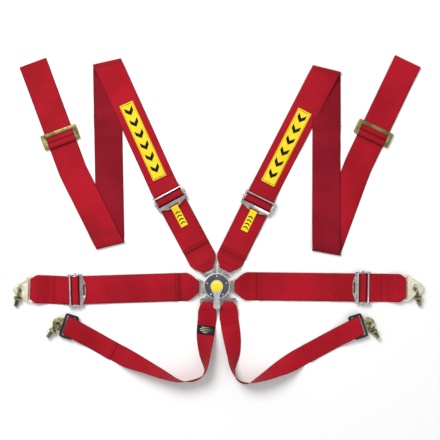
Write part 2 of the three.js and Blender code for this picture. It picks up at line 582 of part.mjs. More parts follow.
function buildLap(name, side) {
  const { reach, bendDegrees, loopEnd, tailLength, eye, eyeTurn, mirror } = side;
  const { degrees } = sockets[name];
  const line = { origin: point(0, 0), degrees };
  straightTongue(`${name}_tongue`, { degrees });
  tongueStrap(`${name}_tongue_strap`, line, reach, reach - tailLength - 12);
  const pin = heading(degrees).multiplyScalar(reach);
  buildAdjuster(name, { x: pin.x, y: pin.y, degrees });

  // Anchor strap: tail, adjuster, then a sewn loop round the hook plate's bar.
  const barAt = loopEnd - 4.2;
  const middle = (hook.bottom + hook.top) / 2;
  const bend = (hook.top - hook.bottom) / 2 + web.gap + web.thickness / 2;
  const profile = [
    ...adjusterProfile(reach, tailLength), [loopEnd - 66, secondLayer],
    ...ramp(loopEnd - 56, secondLayer, barAt - 12, middle + bend, 5),
    ...arc(barAt, middle, bend, 90, -90, 6), [barAt - 11, middle - bend],
    ...ramp(barAt - 12, middle - bend, loopEnd - 54, floorLayer, 4), [loopEnd - 76, floorLayer],
  ];
  const turn = Math.tan(angle(bendDegrees));
  const bendFrom = reach + 14;
  const strapLine = {
    ...line,
    shift: (u) => turn * Math.max(0, u - bendFrom),
    skew: (u) => -turn * THREE.MathUtils.clamp((u - bendFrom) / 50, 0, 1),
  };
  const halfWidth = (u) => blendOf(web.wide / 2, 27, THREE.MathUtils.clamp((u - (loopEnd - 17)) / 15, 0, 1));
  addMesh(`${name}_anchor_strap`, ribbon(along(strapLine, profile, halfWidth)), finishes.webbing());

  const hookDegrees = degrees + bendDegrees;
  const atEye = (solid) => placed(toGeometry(solid), eye.x, eye.y, hookDegrees);
  addMesh(`${name}_hook`, atEye(hookPlate(lapHook, mirror)), finishes.zinc());
  addMesh(`${name}_gate`, atEye(gateLeaf(lapHook, mirror)), finishes.zinc());
  const bolt = eyeboltSolid({ offset: 10.6, lean: 0, droop: 11 });
  addMesh(`${name}_eyebolt`, placed(bolt, eye.x, eye.y, eyeTurn), finishes.olive());
}

// ---- Crotch straps ------------------------------------------------------------------------------

const crotchFrame = { bottom: 8.2, top: 13.8, halfLength: 33, halfWidth: 19, toHook: 29.5 };
const crotchHook = {
  corners: [[-13.3, 19, 2], [-13.3, -19, 2], [-8, -19, 3], [4, -13], [-4, 13], [-8, 19, 4]],
  nose: [1.5, 0], noseRadius: 14.7, holeRadius: 7.5, mouth: 100, gatePivot: [-4.8, 12.5], gateTurn: 2,
  gateLength: 11, secondRivet: 7,
};

function buildCrotch(name, side) {
  const { route, hem, frameAt, frameTurn, eyeTurn, mirror } = side;
  bentTongue(`${name}_tongue`, sockets[name]);
  const { bottom, top } = tongue;
  const { barX, barY } = sockets[name];
  const middle = (bottom + top) / 2;
  const bend = (top - bottom) / 2 + web.gap + web.thickness / 2;
  const narrowHalf = web.narrow / 2;

  // Sewn loop on the tongue's bar, then the strap that stands on edge round the turn.
  const down = { origin: point(barX, barY), degrees: -90 };
  const loopProfile = [
    [52, floorLayer], [40, floorLayer + 1.2], ...ramp(34, 3.6, 10, middle - bend, 3),
    ...arc(3.9, middle, bend, 270, 90, 6), [10, middle + bend], ...ramp(10, middle + bend, 34, 6.4, 3),
    [42, 4.4],
  ];
  const taper = (u) => blendOf(14, narrowHalf, Math.sqrt(THREE.MathUtils.clamp((u - 4.2) / 26, 0, 1)));
  const stations = along(down, loopProfile, taper);
  const centre = new THREE.CatmullRomCurve3(route.map(([x, y]) => point(x, y)), false, 'centripetal');
  const samples = (route.length - 1) * 3;
  for (let i = 0; i <= samples; i += 1) {
    const t = i / samples;
    const step = Math.min(Math.floor(t * (route.length - 1)), route.length - 2);
    const roll = angle(blendOf(route[step][2], route[step + 1][2], t * (route.length - 1) - step));
    const tangent = centre.getTangent(t).normalize();
    const mid = centre.getPoint(t).setZ(Math.abs(Math.sin(roll)) * narrowHalf + floorLayer);
    const half = leftOf(tangent).multiplyScalar(Math.cos(roll) * narrowHalf * mirror);
    half.z = Math.sin(roll) * narrowHalf;
    stations.push({ mid, half: half.multiplyScalar(mirror) });
  }

  // Under the tail, round the frame's middle bar and back over the top as the tail.
  const reach = new THREE.Vector3().subVectors(frameAt, hem).length();
  const lineDegrees = THREE.MathUtils.radToDeg(Math.atan2(frameAt.y - hem.y, frameAt.x - hem.x));
  const twist = Math.tan(angle(frameTurn - lineDegrees));
  const line = {
    origin: hem, degrees: lineDegrees,
    skew: (u) => -twist * smooth(THREE.MathUtils.clamp((u - reach + 75) / 45, 0, 1)),
  };
  const under = crotchFrame.bottom - web.gap - web.thickness / 2;
  const above = crotchFrame.top + web.gap + web.thickness / 2;
  const halfGap = (above - under) / 2;
  const barEnd = reach + 6;
  const tail = [
    [20, floorLayer], [reach - 72, floorLayer], ...ramp(reach - 72, floorLayer, reach - 22, under, 5),
    [barEnd - 6, under],
    ...arc(barEnd, (above + under) / 2, halfGap, -90, 90, 6), [barEnd - 8, above], [reach - 11, above],
    [reach - 20.5, above], ...ramp(reach - 20.5, above, reach - 80, secondLayer, 6), [0, secondLayer],
  ];
  stations.push(...along(line, tail, () => narrowHalf));
  addMesh(`${name}_strap`, ribbon(stations), finishes.webbing());

  const { halfLength, halfWidth } = crotchFrame;
  const slots = [
    boxShape(6, -27.5, 13.2, 27.5, 1.5, THREE.Path), boxShape(-11, -27.5, -5, 27.5, 1.5, THREE.Path),
  ];
  const outline = boxShape(-halfWidth, -halfLength, halfWidth, halfLength, 6);
  const moulding = plate(outline, crotchFrame.bottom, crotchFrame.top, slots);
  const hookSeat = plate([[15.6, -21], [25, -21], [25, 21], [15.6, 21]], hook.bottom - 0.3, hook.top + 0.3);
  const frame = cutBy(toSolid(moulding), toSolid(hookSeat));
  const framePlaced = placed(toGeometry(frame), frameAt.x, frameAt.y, frameTurn);
  addMesh(`${name}_frame`, framePlaced, finishes.blackPlastic());

  const eye = heading(frameTurn).multiplyScalar(crotchFrame.toHook).add(frameAt);
  const atEye = (solid) => placed(toGeometry(solid), eye.x, eye.y, frameTurn);
  addMesh(`${name}_hook`, atEye(hookPlate(crotchHook, -mirror)), finishes.olive());
  addMesh(`${name}_gate`, atEye(gateLeaf(crotchHook, -mirror)), finishes.olive());
  const bolt = eyeboltSolid({ offset: 10.6, lean: 40 * mirror, droop: 1 });
  addMesh(`${name}_eyebolt`, placed(bolt, eye.x, eye.y, eyeTurn), finishes.olive());
}

// ---- Layout -------------------------------------------------------------------------------------

buildBuckle();

buildShoulder('shoulder_left', {
  pin: point(-126.9, 237.1), topTurn: point(-296.5, 605), bottomTurn: point(-287, 108), order: 'over',
  slideFrom: point(-388.7, 311), loopEnd: point(-496.4, 602), tailLength: 152, labelFrom: 23.5, labelTo: 245,
});
buildShoulder('shoulder_right', {
  pin: point(111.5, 225.2), topTurn: point(296.6, 586), bottomTurn: point(294.8, 89), order: 'under',
  slideFrom: point(381.2, 325.2), loopEnd: point(515.4, 606), tailLength: 155, labelFrom: 21, labelTo: 241,
});

buildLap('lap_left', {
  reach: 381.2, bendDegrees: -4.3, loopEnd: 504, tailLength: 278,
  eye: point(-529, -8), eyeTurn: -105.5, mirror: -1,
});
buildLap('lap_right', {
  reach: 394, bendDegrees: 0, loopEnd: 510.6, tailLength: 282, eye: point(535, -6), eyeTurn: -75.5, mirror: 1,
});

buildCrotch('crotch_left', {
  route: [[-28, -106, 0], [-31, -139, 22], [-32, -165, 40], [-32, -187, 54], [-31, -206, 68], [-31, -226, 84],
    [-41, -242, 96], [-57, -251, 102], [-77, -255, 100], [-104, -253, 88], [-146, -236, 68], [-197, -213, 48],
    [-236, -197, 22], [-262, -185, 0]],
  hem: point(-278, -177), frameAt: point(-397.5, -109), frameTurn: 162, eyeTurn: -128, mirror: 1,
});
buildCrotch('crotch_right', {
  route: [[36, -106, 0], [41, -139, 18], [44, -165, 34], [45, -187, 48], [44, -206, 62], [45, -226, 80],
    [54, -248, 96], [68, -258, 102], [84, -260, 100], [101, -254, 88], [132, -240, 68], [163, -224, 48],
    [196, -208, 22], [226, -192, 0]],
  hem: point(241, -184), frameAt: point(380, -109), frameTurn: 18, eyeTurn: -57, mirror: -1,
});

export default harness;
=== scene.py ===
# Six-point racing harness laid flat: detailed webbing, stitching, labels and
# plated hardware round the CAD frame.
import math

import bpy
import bmesh
import numpy as np
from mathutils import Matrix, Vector


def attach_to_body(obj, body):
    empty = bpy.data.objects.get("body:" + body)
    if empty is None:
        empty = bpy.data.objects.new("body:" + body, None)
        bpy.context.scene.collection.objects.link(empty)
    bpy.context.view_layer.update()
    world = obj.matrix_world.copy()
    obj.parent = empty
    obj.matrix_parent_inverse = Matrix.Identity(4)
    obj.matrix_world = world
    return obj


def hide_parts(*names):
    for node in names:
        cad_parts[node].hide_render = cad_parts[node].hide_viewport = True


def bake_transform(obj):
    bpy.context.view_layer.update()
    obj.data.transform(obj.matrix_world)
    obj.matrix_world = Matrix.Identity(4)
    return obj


mm = 0.001
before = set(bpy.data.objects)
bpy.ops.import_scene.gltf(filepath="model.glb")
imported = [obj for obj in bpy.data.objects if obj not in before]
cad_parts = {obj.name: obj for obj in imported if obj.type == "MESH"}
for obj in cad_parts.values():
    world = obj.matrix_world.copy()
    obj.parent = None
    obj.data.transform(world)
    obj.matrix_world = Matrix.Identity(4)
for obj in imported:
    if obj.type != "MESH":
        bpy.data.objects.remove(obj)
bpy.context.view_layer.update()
scene = bpy.context.scene
scene.view_settings.view_transform = "Standard"
print("frame loaded")

# Widths are halves, in millimetres
web = {"thickness": 1.5, "layerStep": 1.8, "wide": 38.0, "narrow": 25.0}
floorLayer = web["thickness"] / 2
secondLayer = floorLayer + web["layerStep"]
thirdLayer = secondLayer + web["layerStep"]

# Plan geometry, in millimetres


def heading(degrees):
    turn = math.radians(degrees)
    return np.array([math.cos(turn), math.sin(turn), 0.0])


def leftOf(direction):
    return np.array([-direction[1], direction[0], 0.0])


def point(x, y, z=0.0):
    return np.array([float(x), float(y), float(z)])


def unit(vector):
    return vector / np.linalg.norm(vector)


def mix(a, b, t):
    return a + (b - a) * t


def smooth(t):
    t = min(max(t, 0.0), 1.0)
    return t * t * (3 - 2 * t)


def directionOf(start, end):
    return math.degrees(math.atan2(end[1] - start[1], end[0] - start[0]))


def arc(u, z, radius, start, end, steps=14):
    turns = [math.radians(mix(start, end, i / steps)) for i in range(steps + 1)]
    return [(u + radius * math.cos(turn), z + radius * math.sin(turn)) for turn in turns]


def ramp(u0, z0, u1, z1, steps=10):
    return [(mix(u0, u1, i / steps), mix(z0, z1, smooth(i / steps))) for i in range(1, steps + 1)]


def along(origin, degrees, profile, halfWidth, shift=None, skew=None):
    ahead, side = heading(degrees), leftOf(heading(degrees))
    stations = []
    for u, z in profile:
        wide = halfWidth(u) if callable(halfWidth) else halfWidth
        half = side * wide + ahead * (skew(u) * wide if skew else 0.0)
        mid = origin + ahead * u + side * (shift(u) if shift else 0.0)
        stations.append((np.array([mid[0], mid[1], z]), half))
    return stations


def leg(start, end, heights, face, skewStart, skewEnd, halfWidth=None):
    wide = halfWidth or web["wide"]
    length = float(np.linalg.norm(end - start))
    tangent = unit(end - start)
    stations = []
    for distance, z in heights:
        t = (length + distance if distance < 0 else distance) / length
        mid = mix(start, end, t)
        half = leftOf(tangent) * face + tangent * mix(skewStart, skewEnd, smooth(t))
        stations.append((np.array([mid[0], mid[1], z]), half * wide))
    return stations


def fold(at, cameFrom, goesTo, startHeight, rise, face, steps=16):
    into, out = unit(at - cameFrom), unit(goesTo - at)
    crease = unit(into + out)
    side = leftOf(into) * face
    outward = unit(into - crease * float(into @ crease))
    skew = -float(side @ outward) / float(into @ outward)
    half = (side + into * skew) * web["wide"]
    radius = abs(rise) / 2
    stations = []
    for i in range(steps + 1):
        turn = math.pi * i / steps
        mid = at + outward * (radius * math.sin(turn) - radius)
        stations.append((np.array([mid[0], mid[1], startHeight + rise / 2 * (1 - math.cos(turn))]),
                         half.copy()))
    return {"stations": stations, "skewIn": skew, "skewOut": float(half @ out) / web["wide"]}


# Webbing ribbons: resampled, gently smoothed, and closed with rounded selvedges

ribbonBuild = {"sample": 0.6, "softening": 4, "longestRow": 3.6, "sharpestTurn": 9.0, "across": 14}


def resample(stations):
    mids = np.array([mid for mid, half in stations])
    halves = np.array([half for mid, half in stations])
    steps = np.linalg.norm(np.diff(mids, axis=0), axis=1)
    keep = np.concatenate([[True], steps > 1e-4])
    mids, halves = mids[keep], halves[keep]
    reach = np.concatenate([[0], np.cumsum(np.linalg.norm(np.diff(mids, axis=0), axis=1))])
    places = np.linspace(0, reach[-1], int(reach[-1] / ribbonBuild["sample"]) + 2)
    mids = np.stack([np.interp(places, reach, mids[:, k]) for k in range(3)], axis=1)
    halves = np.stack([np.interp(places, reach, halves[:, k]) for k in range(3)], axis=1)
    for _ in range(ribbonBuild["softening"]):
        mids[1:-1] = 0.25 * mids[:-2] + 0.5 * mids[1:-1] + 0.25 * mids[2:]
        halves[1:-1] = 0.25 * halves[:-2] + 0.5 * halves[1:-1] + 0.25 * halves[2:]
    return mids, halves


def ribbonPath(stations, ripples=(), startLength=0.0, paintedShadeSpots=()):
    mids, halves = resample(stations)
    reach = np.concatenate([[0], np.cumsum(np.linalg.norm(np.diff(mids, axis=0), axis=1))])
    tilt = np.zeros(len(mids))
    for ripple in ripples:
        t = np.clip((reach - ripple["start"]) / (ripple["end"] - ripple["start"]), 0, 1)
        window = np.sin(math.pi * t) ** 2
        wave = 0.5 - 0.5 * np.cos(2 * math.pi * ripple["count"] * t)
        mids[:, 2] += ripple["height"] * window * wave
        tilt += ripple["tilt"] * window * np.sin(2 * math.pi * (ripple["count"] * 0.7) * t + 0.6)
    travel = np.gradient(mids, axis=0)
    travel /= np.linalg.norm(travel, axis=1)[:, None]
    normals = np.cross(travel, halves)
    normals /= np.linalg.norm(normals, axis=1)[:, None]
    return {"mids": mids, "halves": halves, "normals": normals, "travel": travel, "reach": reach,
            "tilt": tilt,
            "startLength": startLength, "paintedShadeSpots": list(paintedShadeSpots)}


def paintedShadeAt(path, s):
    # How much painted shade darkens the webbing at folds, laps and beside a bar, 0 to 1.
    return max((depth * math.exp(-((s - at) / spread) ** 2) for at, spread, depth in path["paintedShadeSpots"]),
               default=0.0)


def partOf(path, start, end):
    # The stretch of a ribbon between two distances along it.
    kept = (path["reach"] >= start) & (path["reach"] <= end)
    part = {key: path[key][kept] for key in ("mids", "halves", "normals", "travel", "reach", "tilt")}
    offset = part["reach"][0]
    part["reach"] = part["reach"] - offset
    part["startLength"] = path["startLength"] + offset
    part["paintedShadeSpots"] = [(at - offset, spread, depth) for at, spread, depth in path["paintedShadeSpots"]]
    return part


def onRibbon(path, s, across, lift):
    # A point at distance s, at -1 to 1 across, lifted off the middle surface.
    row = [np.interp(s, path["reach"], path[key][:, k]) for key in ("mids", "halves", "normals")
           for k in range(3)]
    mid, half, normal = np.array(row[:3]), np.array(row[3:6]), np.array(row[6:])
    tilt = float(np.interp(s, path["reach"], path["tilt"]))
    raised = abs(tilt) * (1 + across * np.sign(tilt)) / 2
    return mid + half * across + unit(normal) * lift + np.array([0, 0, raised])


def upSide(path, s):
    # 1 where the ribbon's first face looks up, and -1 where it is turned over.
    return 1.0 if np.interp(s, path["reach"], path["normals"][:, 2]) >= 0 else -1.0


def nearest(path, x, y, z):
    return float(path["reach"][np.argmin(np.linalg.norm(path["mids"] - np.array([x, y, z]), axis=1))])


def rowPlaces(path):
    rows, lastRow, turned = [0], 0, 0.0
    travel, reach = path["travel"], path["reach"]
    for i in range(1, len(reach)):
        turned += math.degrees(math.acos(min(1.0, float(travel[i] @ travel[i - 1]))))
        if reach[i] - reach[lastRow] > ribbonBuild["longestRow"] or turned > ribbonBuild["sharpestTurn"]:
            rows.append(i)
            lastRow, turned = i, 0.0
    if rows[-1] != len(reach) - 1:
        rows.append(len(reach) - 1)
    return rows


def newObject(name, vertices, faces, materials=(), smoothShading=True):
    name = name.replace(" ", "_")
    mesh = bpy.data.meshes.new(name)
    mesh.from_pydata([tuple(v) for v in vertices], [], faces)
    mesh.validate()
    piece = bpy.data.objects.new(name, mesh)
    scene.collection.objects.link(piece)
    for material in materials:
        mesh.materials.append(material)
    mesh.polygons.foreach_set("use_smooth", [smoothShading] * len(mesh.polygons))
    return piece


def ribbonObject(name, path, materials, thickness=None, across=None):
    thick = (thickness or web["thickness"]) / 2
    count = across or ribbonBuild["across"]
    flat = [(w, 1.0) for w in np.linspace(1, -1, count + 1)]
    rim = [0.5, 0.0, -0.5]
    section = flat + [(-1, r) for r in rim] + [(w, -1.0) for w,
                                               _ in reversed(flat)] + [(1, -r) for r in rim]
    places, ring = rowPlaces(path), len(section)
    vertices, faces, uvs, sides = [], [], [], []
    for place in places:
        mid, half, normal = path["mids"][place], path["halves"][place], path["normals"][place]
        wide = np.linalg.norm(half)
        tilt = path["tilt"][place]
        for w, face in section:
            bulge = 0.45 * math.sqrt(max(0.0, 1 - face * face)) / wide
            reachOut = w * (1 - 0.35 / wide + bulge)
            raised = abs(tilt) * (1 + w * np.sign(tilt)) / 2
            spot = mid + half * reachOut + normal * thick * face * (0.82 if abs(w) == 1 else 1.0)
            vertices.append((spot + np.array([0, 0, raised])) * mm)
    total = path["startLength"] + path["reach"]
    # Painted shade for each row of the ribbon, where it folds, laps or runs beside a bar.
    dark = [paintedShadeAt(path, path["reach"][place]) for place in places]
    for r in range(len(places) - 1):
        for c in range(ring):
            after = (c + 1) % ring
            faces.append((r * ring + c, r * ring + after, (r + 1) * ring + after, (r + 1) * ring + c))
            wideHere = np.linalg.norm(path["halves"][places[r]])
            w0, w1 = section[c][0], section[after][0]
            rowsHere = [total[places[r]], total[places[r]], total[places[r + 1]], total[places[r + 1]]]
            paintedShadeCorners = [dark[r], dark[r], dark[r + 1], dark[r + 1]]
            uvs.extend(((w * wideHere * mm, s * mm), w, d) for w, s,
                       d in zip((w0, w1, w1, w0), rowsHere, paintedShadeCorners))
            sides.append(1 if section[c][1] < 0 and section[after][1] < 0 and len(materials) > 1 else 0)
    for end in (0, len(places) - 1):
        first = end * ring
        faces.append(tuple(range(first + ring - 1, first - 1, -1)) if end == 0
                     else tuple(range(first, first + ring)))
        uvs.extend(((section[c][0] * 30 * mm, 0.0), section[c][0], 0.0) for c in range(ring))
        sides.append(0)
    piece = newObject(name, vertices, faces, materials)
    mesh = piece.data
    weave = mesh.uv_layers.new(name="weave")
    edge = mesh.uv_layers.new(name="edge")
    weave.data.foreach_set("uv", [value for place, w, d in uvs for value in place])
    # The edge map carries the selvedge distance and, as its second value, the painted shade.
    edge.data.foreach_set("uv", [value for place, w, d in uvs for value in (abs(w), d)])
    mesh.polygons.foreach_set("material_index", sides)
    return piece


# Stitching: every stitch is a short thread with pinched ends that follows the webbing


def stitchMesh(name, path, lines, material, thread=0.55, stitch=3.2, pitch=4.2, lift=None):
    vertices, faces = [], []
    height = (web["thickness"] / 2 if lift is None else lift) + 0.05
    for line in lines:
        spots = [onRibbon(path, s, w, height * upSide(path, s)) for s, w in line]
        lengths = np.concatenate([[0], np.cumsum([np.linalg.norm(b - a) for a,
                                                  b in zip(spots, spots[1:])])])
        places = np.array(spots)
        for k in range(max(1, int(lengths[-1] / pitch))):
            span = [k * pitch + 0.4, k * pitch + 0.4 + stitch / 2, k * pitch + 0.4 + stitch]
            knots = [np.array([np.interp(d, lengths, places[:, j]) for j in range(3)]) for d in span]
            ahead = unit(knots[2] - knots[0] + 1e-9)
            side = unit(np.cross([0, 0, 1.0], ahead) + 1e-9)
            first = len(vertices)
            for t, knot in zip((0.35, 1.0, 0.35), knots):
                for a in range(6):
                    turn = math.pi * a / 3
                    offset = (side * math.cos(turn) * thread * t
                              + np.array([0, 0, 1]) * math.sin(turn) * thread * 0.7)
                    vertices.append((knot + offset - np.array([0, 0, 0.25 * (1 - t)])) * mm)
            for r in (0, 6):
                for a in range(6):
                    b = (a + 1) % 6
                    faces.append((first + r + a, first + r + b, first + r + 6 + b, first + r + 6 + a))
            faces.append(tuple(first + a for a in reversed(range(6))))
            faces.append(tuple(first + 12 + a for a in range(6)))
    return newObject(name, vertices, faces, [material])


def boxStitch(start, end, edge, cross=True):
    box = [(start, -edge), (start, edge), (end, edge), (end, -edge), (start, -edge)]
    lines = [refined(box)]
    if cross:
        lines += [refined([(start, -edge), (end, edge)]), refined([(start, edge), (end, -edge)])]
    return lines


def refined(corners, steps=12):
    spots = []
    for (s0, w0), (s1, w1) in zip(corners, corners[1:]):
        spots += [(mix(s0, s1, i / steps), mix(w0, w1, i / steps)) for i in range(steps)]
    return spots + [corners[-1]]


# Shader node groups


def newGroup(name, inputs, outputs):
    group = bpy.data.node_groups.new(name, "ShaderNodeTree")
    for label, kind, value in inputs:
        socket = group.interface.new_socket(name=label, in_out="INPUT", socket_type=kind)
        socket.default_value = value
    for label, kind in outputs:
        group.interface.new_socket(name=label, in_out="OUTPUT", socket_type=kind)
    return group


def addNode(tree, kind, values=None, **links):
    node = tree.nodes.new(kind)
    for key, value in (values or {}).items():
        setattr(node, key, value)
    for key, source in links.items():
        numbered = key[0] == "i" and key[1:].isdigit()
        socket = node.inputs[int(key[1:]) if numbered else key.replace("_", " ")]
        if isinstance(source, bpy.types.NodeSocket):
            tree.links.new(source, socket)
        else:
            socket.default_value = source
    return node


def calc(tree, operation, a, b=0.0, c=None, clamp=False):
    inputs = {"i0": a, "i1": b}
    if c is not None:
        inputs["i2"] = c
    return addNode(tree, "ShaderNodeMath", {"operation": operation, "use_clamp": clamp},
                   **inputs).outputs[0]


def mapRange(tree, value, low, high, toLow=0.0, toHigh=1.0):
    return addNode(tree, "ShaderNodeMapRange", {"interpolation_type": "SMOOTHSTEP"},
                   i0=value, i1=low, i2=high, i3=toLow, i4=toHigh).outputs[0]


def mixColor(tree, factor, a, b, blend="MIX"):
    node = addNode(tree, "ShaderNodeMix", {"data_type": "RGBA", "blend_type": blend})
    for index, value in ((0, factor), (6, a), (7, b)):
        if isinstance(value, bpy.types.NodeSocket):
            tree.links.new(value, node.inputs[index])
        else:
            node.inputs[index].default_value = value
    return node.outputs[2]


def makeWeave():
    # Herringbone webbing: warp ribs along the strap, crossed by a twill line
    # that turns back at each chevron.
    group = newGroup("woven webbing", [("Rib Pitch", "NodeSocketFloat", 0.0019),
                                       ("Twill Pitch", "NodeSocketFloat", 0.0024),
                                       ("Chevron Width", "NodeSocketFloat", 0.0095),
                                       ("Slant", "NodeSocketFloat", 1.0)],
                     [("Height", "NodeSocketFloat"), ("Thread", "NodeSocketFloat"),
                      ("Selvedge", "NodeSocketFloat"),
                      ("Painted Shade", "NodeSocketFloat")])
    inside, outside = group.nodes.new("NodeGroupInput"), group.nodes.new("NodeGroupOutput")
    place = addNode(group, "ShaderNodeUVMap", {"uv_map": "weave"})
    split = addNode(group, "ShaderNodeSeparateXYZ", i0=place.outputs[0])
    x, y = split.outputs[0], split.outputs[1]
    fray = addNode(group, "ShaderNodeTexNoise", {}, Vector=place.outputs[0], Scale=900.0, Detail=2.0)
    shift = calc(group, "MULTIPLY", calc(group, "SUBTRACT", fray.outputs[0], 0.5), 0.0006)
    ribs = calc(group, "SINE", calc(group, "MULTIPLY", calc(group, "DIVIDE", calc(group, "ADD", x, shift),
                                                            inside.outputs["Rib Pitch"]), 2 * math.pi))
    back = calc(group, "PINGPONG", x, inside.outputs["Chevron Width"])
    slanted = calc(group, "ADD", y, calc(group, "MULTIPLY", back, inside.outputs["Slant"]))
    twill = calc(group, "SINE", calc(group, "MULTIPLY",
                                     calc(group, "DIVIDE", calc(group, "ADD", slanted, shift),
                                                             inside.outputs["Twill Pitch"]), 2 * math.pi))
    height = calc(group, "ADD", calc(group, "MULTIPLY", ribs, 0.35), calc(group, "MULTIPLY", twill, 0.65))
    group.links.new(calc(group, "MULTIPLY_ADD", height, 0.5, 0.5), outside.inputs["Height"])
    group.links.new(mapRange(group, height, -0.8, 0.5), outside.inputs["Thread"])
    edge = addNode(group, "ShaderNodeUVMap", {"uv_map": "edge"})
    edgeSplit = addNode(group, "ShaderNodeSeparateXYZ", i0=edge.outputs[0])
    group.links.new(mapRange(group, edgeSplit.outputs[0], 0.925, 0.99), outside.inputs["Selvedge"])
    # The edge map's second value is passed on as painted shade for folds, laps and bar gaps.
    group.links.new(edgeSplit.outputs[1], outside.inputs["Painted Shade"])
    return group


def makeVariation():
    # Broad, soft differences of tone and fine specks, in object space.
    group = newGroup("tone variation", [("Broad Scale", "NodeSocketFloat", 9.0),
                                        ("Speck Scale", "NodeSocketFloat", 700.0)],
                     [("Broad", "NodeSocketFloat"), ("Specks", "NodeSocketFloat")])
    inside, outside = group.nodes.new("NodeGroupInput"), group.nodes.new("NodeGroupOutput")
    place = addNode(group, "ShaderNodeTexCoord")
    broad = addNode(group, "ShaderNodeTexNoise", {}, Vector=place.outputs["Object"],
                    Scale=inside.outputs["Broad Scale"],
                    Detail=4.0, Roughness=0.55)
    specks = addNode(group, "ShaderNodeTexNoise", {}, Vector=place.outputs["Object"],
                     Scale=inside.outputs["Speck Scale"],
                     Detail=2.0)
    group.links.new(mapRange(group, broad.outputs[0], 0.34, 0.66), outside.inputs["Broad"])
    group.links.new(mapRange(group, specks.outputs[0], 0.3, 0.7), outside.inputs["Specks"])
    return group


def makeWear():
    # Bright rubbed edges and fine scratches on plated metal.
    group = newGroup("edge wear", [("Edge Start", "NodeSocketFloat", 0.52),
                                   ("Scratch Scale", "NodeSocketFloat", 260.0),
                                   ("Patch Scale", "NodeSocketFloat", 60.0)],
                     [("Edges", "NodeSocketFloat"), ("Scratches", "NodeSocketFloat"),
                      ("Patches", "NodeSocketFloat")])
    inside, outside = group.nodes.new("NodeGroupInput"), group.nodes.new("NodeGroupOutput")
    place = addNode(group, "ShaderNodeTexCoord")
    sharp = addNode(group, "ShaderNodeNewGeometry").outputs["Pointiness"]
    patches = addNode(group, "ShaderNodeTexNoise", {}, Vector=place.outputs["Object"],
                      Scale=inside.outputs["Patch Scale"],
                      Detail=5.0, Roughness=0.6)
    rubbed = calc(group, "ADD", sharp, calc(group, "MULTIPLY",
                                            calc(group, "SUBTRACT", patches.outputs[0], 0.5), 0.08))
    group.links.new(mapRange(group, calc(group, "SUBTRACT", rubbed, inside.outputs["Edge Start"]), 0.0,
                             0.06),
                    outside.inputs["Edges"])
    drawn = addNode(group, "ShaderNodeMapping", {}, Vector=place.outputs["Object"], Scale=(1.0, 0.12, 1.0),
                    Rotation=(0.0, 0.0, 0.5))
    scratches = addNode(group, "ShaderNodeTexNoise", {}, Vector=drawn.outputs[0],
                        Scale=inside.outputs["Scratch Scale"],
                        Detail=6.0, Roughness=0.7)
    group.links.new(mapRange(group, scratches.outputs[0], 0.42, 0.62), outside.inputs["Scratches"])
    group.links.new(mapRange(group, patches.outputs[0], 0.35, 0.65), outside.inputs["Patches"])
    return group


weaveGroup, variationGroup, wearGroup = makeWeave(), makeVariation(), makeWear()


def useGroup(tree, group, **values):
    node = tree.nodes.new("ShaderNodeGroup")
    node.node_tree = group
    for key, value in values.items():
        node.inputs[key.replace("_", " ")].default_value = value
    return node


def newMaterial(name):
    material = bpy.data.materials.new(name)
    material.use_nodes = True
    tree = material.node_tree
    return material, tree, tree.nodes["Principled BSDF"]


def rgb(red, green, blue):
    # A colour given as it looks, 0 to 255, turned to the linear values that a shader takes.
    linear = [c / 12.92 if c <= 0.04045 else ((c + 0.055) / 1.055) ** 2.4
              for c in (red / 255, green / 255, blue / 255)]
    return (*linear, 1.0)


def bump(tree, shader, height, distance, strength=1.0):
    node = addNode(tree, "ShaderNodeBump", {}, Strength=strength, Distance=distance, Height=height)
    tree.links.new(node.outputs[0], shader.inputs["Normal"])


def webbingMaterial(name, look):
    material, tree, shader = newMaterial(name)
    weave = useGroup(tree, weaveGroup, Rib_Pitch=look["rib"], Twill_Pitch=look["twill"],
                     Chevron_Width=look["chevron"])
    tone = useGroup(tree, variationGroup, Broad_Scale=look["patches"])
    base = mixColor(tree, tone.outputs["Broad"], look["deep"], look["light"])
    base = mixColor(tree, calc(tree, "MULTIPLY", calc(tree, "SUBTRACT", 1.0, weave.outputs["Thread"]),
                               look["gaps"]),
                    base, look["shade"])
    base = mixColor(tree, calc(tree, "MULTIPLY", weave.outputs["Selvedge"], 0.55), base, look["shade"])
    # Painted shade: the colour is pulled towards "dark" where the webbing folds, laps or runs beside a bar.
    base = mixColor(tree, weave.outputs["Painted Shade"], base, look["dark"])
    tree.links.new(base, shader.inputs["Base Color"])
    rough = calc(tree, "MULTIPLY_ADD", tone.outputs["Specks"], 0.14, look["roughness"])
    tree.links.new(rough, shader.inputs["Roughness"])
    shader.inputs["Sheen Weight"].default_value = look["sheen"]
    shader.inputs["Sheen Roughness"].default_value = 0.45
    shader.inputs["Specular IOR Level"].default_value = 0.16
    fine = calc(tree, "ADD", weave.outputs["Height"], calc(tree, "MULTIPLY", tone.outputs["Specks"], 0.25))
    bump(tree, shader, fine, look["relief"])
    return material


def metalMaterial(name, look):
    material, tree, shader = newMaterial(name)
    wear = useGroup(tree, wearGroup, Scratch_Scale=look["scratches"], Patch_Scale=look["patches"])
    base = mixColor(tree, wear.outputs["Patches"], look["deep"], look["light"])
    base = mixColor(tree, calc(tree, "MULTIPLY", wear.outputs["Edges"], look["edgeAmount"]), base,
                    look["edge"])
    tree.links.new(base, shader.inputs["Base Color"])
    rough = calc(tree, "MULTIPLY_ADD", wear.outputs["Scratches"], look["roughSpread"], look["roughness"])
    tree.links.new(calc(tree, "MULTIPLY_ADD", wear.outputs["Edges"], -0.1, rough),
                   shader.inputs["Roughness"])
    shader.inputs["Metallic"].default_value = look["metallic"]
    bump(tree, shader, calc(tree, "ADD", wear.outputs["Scratches"], wear.outputs["Patches"]),
         look["relief"], 0.6)
    return material


